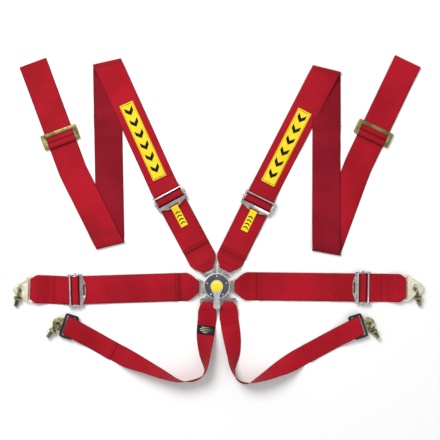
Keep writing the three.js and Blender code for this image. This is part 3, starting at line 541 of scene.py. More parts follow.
def plasticMaterial(name, look):
    material, tree, shader = newMaterial(name)
    tone = useGroup(tree, variationGroup, Broad_Scale=look["patches"], Speck_Scale=look["grain"])
    wear = useGroup(tree, wearGroup)
    base = mixColor(tree, tone.outputs["Broad"], look["deep"], look["light"])
    base = mixColor(tree, calc(tree, "MULTIPLY", wear.outputs["Edges"], look["edgeAmount"]), base,
                    look["edge"])
    tree.links.new(base, shader.inputs["Base Color"])
    tree.links.new(calc(tree, "MULTIPLY_ADD", tone.outputs["Specks"], 0.12, look["roughness"]),
                   shader.inputs["Roughness"])
    shader.inputs["Specular IOR Level"].default_value = 0.4
    bump(tree, shader, tone.outputs["Specks"], look["relief"])
    return material


# Each webbing look's "dark" is the colour of the painted shade at folds, laps and bar gaps.
webFace = webbingMaterial("webbing face", {
    "rib": 0.0019, "twill": 0.0026, "chevron": 0.0095, "patches": 7.0, "gaps": 0.42, "roughness": 0.62,
    "sheen": 0.03,
    "relief": 0.00022, "deep": rgb(160, 6, 26), "light": rgb(186, 11, 36), "shade": rgb(84, 2, 12),
    "dark": rgb(46, 2, 8)})
webBack = webbingMaterial("webbing back", {
    "rib": 0.0042, "twill": 0.0052, "chevron": 0.0084, "patches": 7.0, "gaps": 0.8, "roughness": 0.76,
    "sheen": 0.05,
    "relief": 0.0004, "deep": rgb(144, 12, 32), "light": rgb(166, 20, 42), "shade": rgb(70, 3, 12),
    "dark": rgb(46, 2, 8)})
# The thread's darker red is partly painted shade. It stands in for the shadow in the stitch grooves and
# along the hems, on top of the thread's own red.
threadRedAndGrooveShade = webbingMaterial("sewing thread", {
    "rib": 0.001, "twill": 0.001, "chevron": 0.002, "patches": 60.0, "gaps": 0.2, "roughness": 0.5,
    "sheen": 0.1,
    "relief": 0.00004, "deep": rgb(86, 2, 12), "light": rgb(112, 5, 20), "shade": rgb(50, 1, 8),
    "dark": rgb(40, 1, 6)})
labelYellow = webbingMaterial("woven label", {
    "rib": 0.0008, "twill": 0.0009, "chevron": 0.05, "patches": 16.0, "gaps": 0.12, "roughness": 0.5,
    "sheen": 0.1,
    "relief": 0.00004, "deep": rgb(240, 210, 24), "light": rgb(250, 224, 44), "shade": rgb(190, 150, 10),
    "dark": rgb(120, 96, 10)})
printBlack = webbingMaterial("label print", {
    "rib": 0.0008, "twill": 0.0009, "chevron": 0.05, "patches": 30.0, "gaps": 0.2, "roughness": 0.55,
    "sheen": 0.05,
    "relief": 0.00004, "deep": rgb(16, 15, 15), "light": rgb(30, 28, 28), "shade": rgb(4, 4, 4),
    "dark": rgb(2, 2, 2)})
labelPale = webbingMaterial("label pale print", {
    "rib": 0.0008, "twill": 0.0009, "chevron": 0.05, "patches": 30.0, "gaps": 0.15, "roughness": 0.55,
    "sheen": 0.05,
    "relief": 0.00004, "deep": rgb(196, 190, 160), "light": rgb(222, 214, 180), "shade": rgb(120, 110, 80),
    "dark": rgb(60, 54, 40)})
silver = metalMaterial("satin silver", {
    "deep": rgb(196, 196, 199), "light": rgb(222, 222, 225), "edge": rgb(246, 246, 246), "edgeAmount": 0.5,
    "metallic": 0.75,
    "roughness": 0.3, "roughSpread": 0.14, "scratches": 320.0, "patches": 40.0, "relief": 0.00002})
tongueSteel = metalMaterial("tongue steel", {
    "deep": rgb(128, 120, 114), "light": rgb(164, 156, 150), "edge": rgb(214, 208, 202), "edgeAmount": 0.7,
    "metallic": 0.7, "roughness": 0.36, "roughSpread": 0.2, "scratches": 300.0, "patches": 70.0,
    "relief": 0.00003})
nickel = metalMaterial("satin nickel", {
    "deep": rgb(142, 136, 134), "light": rgb(180, 174, 172), "edge": rgb(232, 226, 226), "edgeAmount": 0.75,
    "metallic": 0.7, "roughness": 0.32, "roughSpread": 0.18, "scratches": 280.0, "patches": 80.0,
    "relief": 0.00003})
# The thin bar's lighter, pinkish base is a painted highlight and a painted reflection of the red webbing.
# Its lower roughness is the bar's real polish.
barPolishAndReflection = metalMaterial("polished bar", {
    "deep": rgb(188, 176, 178), "light": rgb(214, 204, 206), "edge": rgb(240, 234, 234), "edgeAmount": 0.5,
    "metallic": 0.55, "roughness": 0.22, "roughSpread": 0.1, "scratches": 300.0, "patches": 60.0,
    "relief": 0.00001})
brass = metalMaterial("olive brass", {
    "deep": rgb(96, 86, 46), "light": rgb(142, 130, 76), "edge": rgb(190, 176, 120), "edgeAmount": 0.65,
    "metallic": 0.6, "roughness": 0.36, "roughSpread": 0.2, "scratches": 240.0, "patches": 55.0,
    "relief": 0.00004})
# The near-white base of the lap hooks is pale zinc plating with a painted reflection and highlight of the
# lights laid into it.
paleZincAndReflection = metalMaterial("pale zinc", {
    "deep": rgb(226, 216, 186), "light": rgb(246, 240, 216), "edge": rgb(250, 246, 232), "edgeAmount": 0.5,
    "metallic": 0.45, "roughness": 0.34, "roughSpread": 0.16, "scratches": 260.0, "patches": 50.0,
    "relief": 0.00003})
olive = metalMaterial("dark olive plating", {
    "deep": rgb(66, 64, 40), "light": rgb(118, 112, 74), "edge": rgb(190, 182, 138), "edgeAmount": 0.6,
    "metallic": 0.65, "roughness": 0.34, "roughSpread": 0.2, "scratches": 260.0, "patches": 90.0,
    "relief": 0.00005})
crotchOlive = metalMaterial("olive gold plating", {
    "deep": rgb(112, 104, 66), "light": rgb(172, 162, 112), "edge": rgb(216, 208, 160), "edgeAmount": 0.6,
    "metallic": 0.6, "roughness": 0.34, "roughSpread": 0.2, "scratches": 260.0, "patches": 90.0,
    "relief": 0.00004})
coverGrey = plasticMaterial("cover plastic", {
    "patches": 24.0, "grain": 1400.0, "deep": rgb(66, 67, 72), "light": rgb(80, 81, 87),
    "edge": rgb(124, 126, 132),
    "edgeAmount": 0.5, "roughness": 0.42, "relief": 0.00003})
frameBlack = plasticMaterial("black plastic", {
    "patches": 40.0, "grain": 1100.0, "deep": rgb(12, 12, 12), "light": rgb(26, 25, 24),
    "edge": rgb(70, 68, 64),
    "edgeAmount": 0.4, "roughness": 0.34, "relief": 0.00003})
badgeYellow = plasticMaterial("badge enamel", {
    "patches": 30.0, "grain": 900.0, "deep": rgb(236, 214, 30), "light": rgb(246, 226, 48),
    "edge": rgb(252, 244, 150),
    "edgeAmount": 0.4, "roughness": 0.3, "relief": 0.00001})
print("materials made")

# Hardware: a bevelled, finished copy of each CAD piece


def bevelled(node, body, material, width, segments=2):
    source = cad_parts[node]
    piece = bpy.data.objects.new(node + "_finished", source.data.copy())
    scene.collection.objects.link(piece)
    mesh = piece.data
    work = bmesh.new()
    work.from_mesh(mesh)
    bmesh.ops.remove_doubles(work, verts=work.verts, dist=0.00002)
    bmesh.ops.dissolve_limit(work, angle_limit=math.radians(2), verts=work.verts, edges=work.edges)
    work.to_mesh(mesh)
    work.free()
    mesh.materials.clear()
    mesh.materials.append(material)
    bevel = piece.modifiers.new("rounded edges", "BEVEL")
    bevel.width, bevel.segments, bevel.limit_method = width * mm, segments, "ANGLE"
    bevel.angle_limit = math.radians(32)
    bevel.use_clamp_overlap = True
    bevel.harden_normals = False
    bpy.context.view_layer.update()
    finished = bpy.data.meshes.new_from_object(piece.evaluated_get(bpy.context.evaluated_depsgraph_get()))
    piece.modifiers.clear()
    piece.data = finished
    finished.polygons.foreach_set("use_smooth", [True] * len(finished.polygons))
    finished.set_sharp_from_angle(angle=math.radians(40))
    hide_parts(node)
    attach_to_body(piece, body)
    return piece


def finishHardware():
    root = "buckle"
    bevelled("buckle_base", root, silver, 0.5)
    bevelled("buckle_body", root, silver, 0.7, 3)
    bevelled("buckle_cover", root, coverGrey, 0.6, 3)
    for i in range(1, 6):
        bevelled(f"cover_screw_{i}", root, silver, 0.25)
    bevelled("lever", "lever_body", silver, 1.3, 4)
    bevelled("lever_badge", "lever_body", badgeYellow, 0.25, 3)
    bevelled("lock_plate", "lock", tongueSteel, 0.2)
    bevelled("lever_spring", root, tongueSteel, 0.2)
    for name in ("shoulder_left", "shoulder_right", "lap_left", "lap_right"):
        strapBody = root if name == "lap_left" else name
        bevelled(f"{name}_tongue", strapBody, tongueSteel, 0.6)
        holder = bevelled(f"{name}_adjuster_frame", f"adjuster_{name}", nickel, 0.45)
        holder.data.materials.append(barPolishAndReflection)
        bevelled(f"{name}_adjuster_pin", f"adjuster_{name}", nickel, 0.5)
        bevelled(f"{name}_lock_bar", f"lock_bar_{name}", nickel, 0.4)
        markThinBar(holder, name)
    for name in ("shoulder_left", "shoulder_right"):
        bevelled(f"{name}_slide", name, brass, 0.7, 3)
    for name in ("lap_left", "lap_right"):
        bevelled(f"{name}_hook", f"hook_{name}", paleZincAndReflection, 0.6, 3)
        bevelled(f"{name}_gate", f"gate_{name}", paleZincAndReflection, 0.35)
        bevelled(f"{name}_eyebolt", f"eyebolt_{name}", olive, 0.4)
    for name in ("crotch_left", "crotch_right"):
        bevelled(f"{name}_tongue", name, tongueSteel, 0.6)
        bevelled(f"{name}_frame", f"hook_{name}", frameBlack, 0.9, 3)
        bevelled(f"{name}_hook", f"hook_{name}", crotchOlive, 0.6, 3)
        bevelled(f"{name}_gate", f"gate_{name}", crotchOlive, 0.35)
        bevelled(f"{name}_eyebolt", f"eyebolt_{name}", olive, 0.4)


# Layout of the straps, in millimetres and degrees

shoulders = {
    "shoulder_left": {"pin": point(-126.9, 237.1), "top": point(-296.5, 605), "bottom": point(-287, 108),
                      "slideFrom": point(-388.7, 311), "end": point(-496.4, 602), "over": True,
                      "tail": 152.0,
                      "label": (23.5, 245.0)},
    "shoulder_right": {"pin": point(111.5, 225.2), "top": point(296.6, 586), "bottom": point(294.8, 89),
                       "slideFrom": point(381.2, 325.2), "end": point(515.4, 606), "over": False,
                       "tail": 155.0,
                       "label": (21.0, 241.0)},
}
laps = {
    "lap_left": {"degrees": 181.8, "reach": 381.2, "bend": -4.3, "loopEnd": 504.0, "tail": 278.0},
    "lap_right": {"degrees": -0.67, "reach": 394.0, "bend": 0.0, "loopEnd": 510.6, "tail": 282.0},
}
adjusterShape = {"pinHeight": 5.3, "wrap": 4.25, "thinBarAt": 14.0, "thinBarHeight": 12.0,
                 "thinBarRadius": 2.3}
tongueShape = {"middle": 9.25, "bend": 2.3, "slotEnd": 50.5}


def adjusterPlace(name):
    if name in shoulders:
        pin = shoulders[name]["pin"]
        return directionOf(point(0, 0), pin), float(np.linalg.norm(pin))
    return laps[name]["degrees"], laps[name]["reach"]


def markThinBar(holder, name):
    # The thin bar over the webbing is polished by use. Its lighter, pinkish finish also carries a painted
    # highlight and a painted reflection of the red webbing.
    degrees, reach = adjusterPlace(name)
    ahead, bar = heading(degrees), adjusterShape
    for polygon in holder.data.polygons:
        centre = np.array(polygon.center) / mm
        u = float(centre @ ahead) - reach
        away = math.hypot(u - bar["thinBarAt"], centre[2] - bar["thinBarHeight"])
        if away < bar["thinBarRadius"] + 0.25 and abs(float(centre @ leftOf(ahead))) < 40:
            polygon.material_index = 1


def attach(piece, body, slotName, *nodes):
    if nodes:
        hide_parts(*nodes)
    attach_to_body(piece, body)


def blendPiece(piece):
    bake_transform(piece)


def hemStart(at, height):
    # The webbing's end is turned under once and sewn down.
    low, high = height, height + web["layerStep"]
    return [(at + 13, low), *[(at + 1.2 - (u - at), z) for u,
                              z in arc(at, (low + high) / 2, 0.9, -80, 80, 8)],
            (at + 5, high), (at + 13, high), (at + 19, mix(high, low, 0.7))]


def buildTongueStrap(name, degrees, reach, doubledTo, body):
    middle, bend, slotEnd = tongueShape["middle"], tongueShape["bend"], tongueShape["slotEnd"]
    profile = [(reach - 62, floorLayer), (reach, floorLayer),
               *arc(reach, adjusterShape["pinHeight"], adjusterShape["wrap"], -70, 100),
               (reach - 6, 8.3), (reach - 10, 6.4), (reach - 14, 4.9), (reach - 20, 3.4),
               (reach - 28, secondLayer),
               (reach - 66, secondLayer), (reach - 76, floorLayer), (doubledTo + 10, floorLayer),
               (doubledTo, secondLayer), *ramp(doubledTo, secondLayer, slotEnd + 9, middle + bend),
               *arc(slotEnd + 0.3, middle, bend, 90, 270),
               *ramp(slotEnd + 6, middle - bend, doubledTo - 4, floorLayer)]

    def halfWidth(u):
        t = min(max((u - slotEnd - 0.6) / 32, 0.0), 1.0)
        return mix(16.5, web["wide"], 1 - (1 - t) ** 1.7)

    path = ribbonPath(along(point(0, 0), degrees, profile, halfWidth))
    ahead = heading(degrees)
    inner = nearest(path, *(ahead * 64)[:2], middle)
    outer = nearest(path, *(ahead * (doubledTo + 2))[:2], secondLayer)
    # Painted shade where the tongue strap laps over itself and by its sewn line.
    path["paintedShadeSpots"] = [(outer - 6, 2.4, 0.5), (outer + 1, 1.2, 0.35), (inner, 1.6, 0.25)]
    piece = ribbonObject(f"{name} tongue strap", path, [webBack, webFace])
    attach(piece, body, "webbing", f"{name}_tongue_strap")
    lines = [refined([(inner, -0.62), (inner, 0.62)]), refined([(inner - 5, -0.66), (inner - 5, 0.66)]),
             refined([(outer, 0.8), (inner, 0.62)]), refined([(outer, -0.8), (inner, -0.62)])]
    sewing = stitchMesh(f"{name} tongue stitching", path, lines, threadRedAndGrooveShade)
    attach(sewing, body, "webbing")


def adjusterRun(reach):
    shape = [(-24, 6.4), (-15, 7.9), (-10.6, 8.4), (-8.7, 9.6), (-8.3, 12), (-7.4, 14.4), (-5, 15.3),
             (5, 15.3),
             (7.4, 14.4), (8.3, 12), (8.7, 9.6), (10.4, 8.6), (14, 8.3)]
    return [(reach + u, z) for u, z in shape]


def buildTail(name, degrees, reach, tailLength, body, ripples=()):
    tailEnd = reach - tailLength
    profile = [*hemStart(tailEnd, secondLayer), (reach - 94, secondLayer), (reach - 82, thirdLayer),
               (reach - 36, thirdLayer), *adjusterRun(reach)]
    path = ribbonPath(along(point(0, 0), degrees, profile, web["wide"]), ripples)
    ahead = heading(degrees)
    lipSide = nearest(path, *(ahead * (reach - 8.6))[:2], 9.6)
    barSide = nearest(path, *(ahead * (reach + 8.6))[:2], 9.6)
    # Painted shade in the gaps either side of the adjuster roll, and near the hem.
    path["paintedShadeSpots"] = [(lipSide, 4.6, 0.95), (barSide, 4.6, 0.95), (11.5, 1.6, 0.45), (19.5, 1.2, 0.3)]
    piece = ribbonObject(f"{name} tail", path, [webFace, webBack])
    blendPiece(piece)
    sewnAt = nearest(path, *(ahead * (tailEnd + 8.5))[:2], secondLayer + web["layerStep"])
    sewing = stitchMesh(f"{name} tail hem stitching", path,
                        [refined([(sewnAt, -0.97), (sewnAt, 0.97)], 24)], threadRedAndGrooveShade)
    attach(sewing, body, "webbing")
    return path["reach"][-1]


def buildPullTab(name, degrees, reach):
    side = name.split("_")[1]
    profile = [(-30.5, 8.4), *arc(-27.2, 11, 2.4, -90, 90), (-32, 12), (-40, 8.6), (-50, 6.2), (-86, 6.1)]
    origin = heading(degrees) * reach
    path = ribbonPath(along(origin, degrees, profile, 10.0))
    piece = ribbonObject(f"{name} pull tab", path, [labelYellow], thickness=0.9, across=8)
    attach(piece, f"pull_tab_{side}", "label", f"{name}_pull_tab")
    total = path["reach"][-1]
    marks = printOnRibbon(f"{name} pull tab print", path, chevronRow(total - 46, total - 5, 4, 0.7), 0.47)
    attach(marks, f"pull_tab_{side}", "label")


# Printed marks: plain chevrons, laid on a ribbon's face


def chevronRow(start, end, count, spread):
    step = (end - start) / count
    marks = []
    for i in range(count):
        nose, depth = start + step * (i + 0.08), step * 0.36
        marks.append([(nose + depth, -spread), (nose, 0.0), (nose + depth, spread),
                      (nose + 2 * depth, spread),
                      (nose + depth, 0.0), (nose + 2 * depth, -spread)])
    return marks


def printOnRibbon(name, path, marks, lift, material=None, thick=0.1):
    vertices, faces = [], []
    for outline in marks:
        first, count = len(vertices), len(outline)
        for layer in (0, 1):
            vertices += [onRibbon(path, s, w, (lift + layer * thick) * upSide(path, s)) * mm for s,
                         w in outline]
        order = list(range(count))
        if count == 6:
            quads = [(order[0], order[1], order[4], order[5]), (order[1], order[2], order[3], order[4])]
        else:
            quads = [tuple(order)]
        faces += [tuple(first + count + k for k in quad) for quad in quads]
        faces += [tuple(first + k for k in reversed(quad)) for quad in quads]
        faces += [(first + k, first + (k + 1) % count, first + count + (k + 1) % count, first + count + k)
                  for k in range(count)]
    piece = newObject(name, vertices, faces, [material or printBlack], smoothShading=False)
    work = bmesh.new()
    work.from_mesh(piece.data)
    bmesh.ops.recalc_face_normals(work, faces=work.faces)
    work.to_mesh(piece.data)
    work.free()
    for layer in ("weave", "edge"):
        piece.data.uv_layers.new(name=layer)
    return piece


foldShape = {"bulge": 8.0, "high": secondLayer + 0.2}


def buildShoulder(name, side):
    top, bottom, end, slideFrom = side["top"], side["bottom"], side["end"], side["slideFrom"]
    degrees, reach = adjusterPlace(name)
    buildTongueStrap(name, degrees, reach, reach - side["tail"] - 12, name)
    tailLength = buildTail(name, degrees, reach, side["tail"], name)
    buildPullTab(name, degrees, reach)

    bulge, high = foldShape["bulge"], foldShape["high"]
    start = heading(degrees) * (reach + 36)
    stations = along(point(0, 0), degrees, [(reach + 14, 8.3), (reach + 20, 7.6), (reach + 36, 4)],
                     web["wide"])
    topFold = fold(top, start, bottom, floorLayer + bulge, -bulge, 1)
    heightsOne = [(28, floorLayer), (110, floorLayer), (150, high), (-90, high), (-48, bulge * 0.7),
                  (-20, floorLayer + bulge)]
    stations += leg(start, top, heightsOne, 1, 0, topFold["skewIn"]) + topFold["stations"]
    legOneLength = float(np.linalg.norm(top - start))

    over = side["over"]
    bottomFold = fold(bottom, top, slideFrom, floorLayer if over else floorLayer + bulge,
                      bulge if over else -bulge, -1)
    heightsTwo = [(20, floorLayer), (250, floorLayer), (-20, floorLayer)]
    if not over:
        heightsTwo = [(20, floorLayer), (225, floorLayer), (-262, floorLayer), (-224, high), (-90, high),
                      (-48, bulge * 0.7), (-20, floorLayer + bulge)]
    stations += leg(top, bottom, heightsTwo, -1, topFold["skewOut"],
                    bottomFold["skewIn"]) + bottomFold["stations"]
    rise = [(20, floorLayer), (-30, floorLayer)]
    if over:
        rise = [(20, floorLayer + bulge), (48, bulge * 0.7), (90, high), (-10, high)]
    stations += leg(bottom, slideFrom, rise, 1, bottomFold["skewOut"], 0)

    # Slide, end loop and the tail that returns underneath
    turn = directionOf(slideFrom, end)
    slideAt, barMid, crest = 96.0, 96.0 - 20.5 + 7.3, 8.3
    roll = [(-14, secondLayer + 0.2), (-10.4, 4.2), (-9, 6.4), (-7.3, crest), (-3, crest + 0.5),
            (3, crest + 0.5),
            (7.3, crest), (9, 6.4), (10.4, 4.2), (14, secondLayer)]
    far = float(np.linalg.norm(end - slideFrom))
    lastRun = [(2, secondLayer), *[(barMid + u, z) for u, z in roll], (slideAt + 40, secondLayer),
               (far - 60, secondLayer), (far - 26, 4.4), *arc(far - 2.4, floorLayer + 2.4, 2.4, 90, -90),
               (far - 40, floorLayer), (slideAt, floorLayer), (12, floorLayer)]
    stations += along(slideFrom, turn, lastRun, web["wide"])
    longestBefore = legOneLength + 36
    legTwoEnds = longestBefore + float(np.linalg.norm(bottom - top))
    ripples = [{"start": legOneLength * 0.35, "end": legOneLength * 0.8, "height": 0.5, "count": 2,
                "tilt": 0.4},
               {"start": longestBefore + 30, "end": longestBefore + 240, "height": 2.2, "count": 3,
                "tilt": 1.6}]
    if over:
        ripples.append({"start": legTwoEnds + 60, "end": legTwoEnds + 220, "height": 2.4, "count": 2,
                        "tilt": 1.8})
    path = ribbonPath(stations, ripples, tailLength)
    legThree = unit(end - slideFrom)
    slideSides = [nearest(path, *(slideFrom + legThree * (barMid + u))[:2], 6.4) for u in (-8.6, 8.6)]
    # Painted shade at the adjuster, at the folds, and in the gaps beside the slide bars.
    path["paintedShadeSpots"] = [(1.5, 3.0, 0.6), (longestBefore - 22, 7.0, 0.28), (longestBefore + 12, 9.0, 0.35),
                       (legTwoEnds - 6, 9.0, 0.3), (legTwoEnds + 34, 14.0, 0.22),
                       *[(s, 3.4, 0.75) for s in slideSides]]
    joinAt = path["reach"][np.searchsorted(path["reach"], 40.0)]
    strap = ribbonObject(f"{name} long strap", partOf(path, joinAt, path["reach"][-1]), [webFace, webBack])
    attach(strap, name, "webbing", f"{name}_long_strap")
    leadIn = ribbonObject(f"{name} strap at adjuster", partOf(path, 0.0, joinAt), [webFace, webBack])
    blendPiece(leadIn)
    loopSewn = nearest(path, *(slideFrom + legThree * (far - 62))[:2], secondLayer)
    sewing = stitchMesh(f"{name} loop stitching", path,
                        [refined([(loopSewn, -0.95), (loopSewn, 0.95)], 24)], threadRedAndGrooveShade)
    attach(sewing, name, "webbing")

    buildLabel(name, side, path, start, top)


labelShape = {"halfWidth": 19.5, "lift": 1.15, "thickness": 0.7, "marks": 6, "border": 0.86}


def buildLabel(name, side, strapPath, start, top):
    look = labelShape
    ahead = unit(top - start)
    labelFrom, labelTo = side["label"]
    places = np.linspace(labelFrom, labelTo, 60)
    stations = []
    for distance in places:
        spot = start + ahead * distance
        s = nearest(strapPath, spot[0], spot[1], secondLayer)
        on = onRibbon(strapPath, s, 0.0, look["lift"])
        stations.append((on, leftOf(ahead) * look["halfWidth"]))
    path = ribbonPath(stations)
    label = ribbonObject(f"{name} label", path, [labelYellow], thickness=look["thickness"], across=10)
    attach(label, name, "label", f"{name}_label")
    total = path["reach"][-1]
    marks = chevronRow(14, total - 4, look["marks"], 0.58)
    shown = printOnRibbon(f"{name} label print", path, marks, look["thickness"] / 2 + 0.25)
    attach(shown, name, "label")
    border = look["border"]
    rim = refined([(4, -border), (4, border), (total - 4, border), (total - 4, -border), (4, -border)], 40)
    zigzag = [(s + (1.2 if i % 2 else -1.2) * (abs(w) < border - 1e-6), w + (0.05 if i % 2 else -0.05))
              for i, (s, w) in enumerate(rim)]
    sewing = stitchMesh(f"{name} label stitching", path, [zigzag], printBlack, 0.5, 2.8, 3.3,
                        look["thickness"] / 2)
    attach(sewing, name, "label")


def buildLap(name, side):
    degrees, reach, loopEnd = side["degrees"], side["reach"], side["loopEnd"]
    body = "buckle" if name == "lap_left" else name
    buildTongueStrap(name, degrees, reach, reach - side["tail"] - 12, body)
    ripples = [{"start": 60, "end": 230, "height": 0.5, "count": 2, "tilt": 0.5}]
    tailLength = buildTail(name, degrees, reach, side["tail"], body, ripples)
    barAt, middle, bend = loopEnd - 4.2, 11.0, 2.55
    turn = math.tan(math.radians(side["bend"]))
    bendFrom, splitAt = reach + 14, loopEnd - 66

    def shift(u):
        return turn * max(0.0, u - bendFrom)

    def skew(u):
        return -turn * min(max((u - bendFrom) / 50, 0.0), 1.0)

    def halfWidth(u):
        return mix(web["wide"], 27, min(max((u - (loopEnd - 17)) / 15, 0.0), 1.0))

    nearSide = [(reach + 14, 8.3), (reach + 20, 7.6), (reach + 36, 4), (splitAt - 2, secondLayer),
                (splitAt, secondLayer)]
    pathA = ribbonPath(along(point(0, 0), degrees, nearSide, halfWidth, shift, skew), (), tailLength)
    anchor = ribbonObject(f"{name} anchor strap", pathA, [webFace, webBack])
    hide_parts(f"{name}_anchor_strap")
    blendPiece(anchor)
    farSide = [(splitAt, secondLayer), (splitAt + 8, secondLayer),
               *ramp(loopEnd - 56, secondLayer, barAt - 12, middle + bend),
               *arc(barAt, middle, bend, 90, -90), (barAt - 11, middle - bend),
               *ramp(barAt - 12, middle - bend, loopEnd - 54, floorLayer), (loopEnd - 76, floorLayer)]
    pathB = ribbonPath(along(point(0, 0), degrees, farSide, halfWidth, shift, skew), (),
                       tailLength + pathA["reach"][-1])
    loop = ribbonObject(f"{name} hook loop", pathB, [webFace, webBack])
    blendPiece(loop)
    inner, outer = 20.0, 46.0
    lines = boxStitch(inner, outer, 0.82) + [refined([(inner - 4, -0.86), (inner - 4, 0.86)])]
    sewing = stitchMesh(f"{name} loop stitching", pathB, lines, threadRedAndGrooveShade)
    blendPiece(sewing)


crotches = {
    "crotch_left": {
        "bar": point(-25.5, -41), "hem": point(-278, -177), "frameAt": point(-397.5, -109),
        "frameTurn": 162.0, "mirror": 1,
        "route": [(-28, -106, 0), (-31, -139, 22), (-32, -165, 40), (-32, -187, 54), (-31, -206, 68),
                  (-31, -226, 84),
                  (-41, -242, 96), (-57, -251, 102), (-77, -255, 100), (-104, -253, 88), (-146, -236, 68),
                  (-197, -213, 48), (-236, -197, 22), (-262, -185, 0)]},
    "crotch_right": {
        "bar": point(32.5, -41), "hem": point(241, -184), "frameAt": point(380, -109), "frameTurn": 18.0,
        "mirror": -1,
        "route": [(36, -106, 0), (41, -139, 18), (44, -165, 34), (45, -187, 48), (44, -206, 62),
                  (45, -226, 80),
                  (54, -248, 96), (68, -258, 102), (84, -260, 100), (101, -254, 88), (132, -240, 68),
                  (163, -224, 48), (196, -208, 22), (226, -192, 0)]},
}
crotchFrameShape = {"under": 7.15, "above": 14.85}


def splineThrough(points, steps):
    # Catmull-Rom through the points; each has as many columns as it needs.
    points = np.array(points, dtype=float)
    padded = np.vstack([2 * points[0] - points[1], points, 2 * points[-1] - points[-2]])
    rows = []
    for i in range(len(points) - 1):
        a, b, c, d = padded[i:i + 4]
        for k in range(steps):
            t = k / steps
            rows.append(0.5 * (2 * b + (c - a) * t + (2 * a - 5 * b + 4 * c - d)
                               * t * t + (3 * b - a - 3 * c + d) * t ** 3))
    rows.append(points[-1])
    return np.array(rows)


def buildCrotch(name, side):
    narrow, mirror = web["narrow"], side["mirror"]
    middle, bend = tongueShape["middle"], tongueShape["bend"]
    loop = [(52, floorLayer), (40, floorLayer + 1.2), *ramp(34, 3.6, 10, middle - bend),
            *arc(3.9, middle, bend, 270, 90),
            (10, middle + bend), *ramp(10, middle + bend, 34, 6.4), (42, 4.4)]

    def taper(u):
        return mix(14, narrow, math.sqrt(min(max((u - 4.2) / 26, 0.0), 1.0)))

    stations = along(side["bar"], -90, loop, taper)
    route = splineThrough(side["route"], 8)
    tangents = np.gradient(route[:, :2], axis=0)
    for (x, y, roll), (dx, dy) in zip(route, tangents):
        tangent, lean = unit(point(dx, dy)), math.radians(roll)
        mid = point(x, y, abs(math.sin(lean)) * narrow + floorLayer)
        half = leftOf(tangent) * math.cos(lean) * narrow * mirror
        half[2] = math.sin(lean) * narrow
        stations.append((mid, half * mirror))
    hem, frameAt = side["hem"], side["frameAt"]
    reach, degrees = float(np.linalg.norm(frameAt - hem)), directionOf(hem, frameAt)
    under, above = crotchFrameShape["under"], crotchFrameShape["above"]
    twist = math.tan(math.radians(side["frameTurn"] - degrees))

    def skew(u):
        return -twist * smooth((u - reach + 75) / 45)

    splitAt, barEnd = 20.0, reach + 6
    stations += along(hem, degrees, [(splitAt, floorLayer)], narrow)
    strapPath = ribbonPath(stations)
    strap = ribbonObject(f"{name} strap", strapPath, [webFace, webBack], across=12)
    attach(strap, name, "webbing", f"{name}_strap")
    hemEnd = [(u, z) for u, z in reversed(hemStart(0.0, secondLayer))]
    last = [(splitAt, floorLayer), (reach - 72, floorLayer),
            *ramp(reach - 72, floorLayer, reach - 22, under),
            (barEnd - 6, under),
            *arc(barEnd, (above + under) / 2, (above - under) / 2, -90, 90), (barEnd - 8, above),
            (reach - 11, above),
            (reach - 20.5, above), *ramp(reach - 20.5, above, reach - 80, secondLayer), (24, secondLayer),
            *hemEnd]
    tailPath = ribbonPath(along(hem, degrees, last, narrow, None, skew), (), strapPath["reach"][-1])
    tail = ribbonObject(f"{name} tail", tailPath, [webBack, webFace], across=12)
    ahead = heading(degrees)
    blendPiece(tail)
    sewnAt = nearest(tailPath, *(hem + ahead * 8.5)[:2], secondLayer + web["layerStep"])
    sewing = stitchMesh(f"{name} hem stitching", tailPath, [refined([(sewnAt, -0.95), (sewnAt, 0.95)], 16)],
                        threadRedAndGrooveShade)
    attach(sewing, name, "webbing")

    # Sewn end on the tongue: a close row of bar tacks
    x, y = side["bar"][:2]
    first = nearest(strapPath, x, y - 22, 8.5)
    last = nearest(strapPath, x, y - 64, 1.5)
    rows = []
    for k in range(7):
        s = mix(first, last, k / 6)
        rows.append(refined([(s, -0.72), (s + 3.0, 0.0), (s, 0.72)], 10))
    tacks = stitchMesh(f"{name} tongue stitching", strapPath, rows, threadRedAndGrooveShade)
    attach(tacks, name, "webbing")
    if name == "crotch_left":
        buildCareLabel(name, strapPath)


def buildCareLabel(name, strapPath):
    # A small black label sewn across the strap, with plain pale bars for its print.
    start = nearest(strapPath, -28, -108, 0.75)
    stations = []
    for s in np.linspace(start, start + 25, 12):
        half = onRibbon(strapPath, s, 0.94, 0) - onRibbon(strapPath, s, 0, 0)
        stations.append((onRibbon(strapPath, s, 0.0, 1.25), half))
    path = ribbonPath(stations)
    label = ribbonObject(f"{name} care label", path, [printBlack], thickness=0.6, across=8)
    attach(label, name, "webbing")
    bars = []
    for k, reach in enumerate((0.5, 0.72, 0.62, 0.34)):
        s = 4.5 + k * 4.6
        bars.append([(s, -reach), (s, reach), (s + 2.1, reach), (s + 2.1, -reach)])
    shown = printOnRibbon(f"{name} care label print", path, bars, 0.32, labelPale)
    attach(shown, name, "webbing")


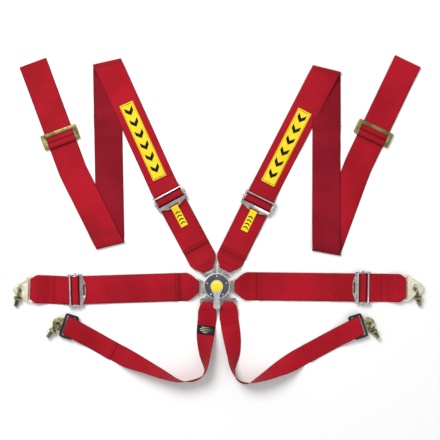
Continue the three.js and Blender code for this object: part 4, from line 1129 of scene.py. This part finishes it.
finishHardware()
print("hardware finished")
for strapName, strapSide in shoulders.items():
    buildShoulder(strapName, strapSide)
print("shoulder straps made")
for strapName, strapSide in laps.items():
    buildLap(strapName, strapSide)
print("lap straps made")
for strapName, strapSide in crotches.items():
    buildCrotch(strapName, strapSide)
print("crotch straps made")

# Floor, lights and camera

studio = {"floorSize": 8.0, "cameraHeight": 3.4, "viewWidth": 1.188, "viewX": 0.0086, "viewY": 0.1777,
          "keyPower": 105.0, "fillPower": 22.0, "worldStrength": 0.42}


def buildStudio():
    half = studio["floorSize"] / 2
    floor = newObject("floor", [(-half, -half, 0), (half, -half, 0), (half, half, 0), (-half, half, 0)],
                      [(0, 1, 2, 3)])
    material, tree, shader = newMaterial("floor paper")
    tone = useGroup(tree, variationGroup, Broad_Scale=1.5, Speck_Scale=300.0)
    tree.links.new(mixColor(tree, tone.outputs["Specks"], (0.97, 0.97, 0.97, 1), (0.985, 0.985, 0.985, 1)),
                   shader.inputs["Base Color"])
    shader.inputs["Roughness"].default_value = 0.9
    floor.data.materials.append(material)

    def areaLight(name, place, size, power):
        light = bpy.data.lights.new(name, "AREA")
        light.shape, light.size, light.energy = "DISK", size, power
        lamp = bpy.data.objects.new(name, light)
        lamp.location = place
        lamp.rotation_euler = (Vector((0, 0.18, 0)) - Vector(place)).to_track_quat("-Z", "Y").to_euler()
        scene.collection.objects.link(lamp)

    areaLight("key light", (-1.3, 1.9, 2.9), 2.0, studio["keyPower"])
    areaLight("fill light", (1.8, -1.4, 2.8), 2.6, studio["fillPower"])
    world = bpy.data.worlds.new("studio world")
    world.use_nodes = True
    world.node_tree.nodes["Background"].inputs[0].default_value = (1, 1, 1, 1)
    world.node_tree.nodes["Background"].inputs[1].default_value = studio["worldStrength"]
    scene.world = world
    lens = bpy.data.cameras.new("camera")
    lens.sensor_width = 36.0
    lens.lens = 36.0 * studio["cameraHeight"] / studio["viewWidth"]
    camera = bpy.data.objects.new("camera", lens)
    camera.location = (studio["viewX"], studio["viewY"], studio["cameraHeight"])
    scene.collection.objects.link(camera)
    scene.camera = camera


buildStudio()
print("studio ready")
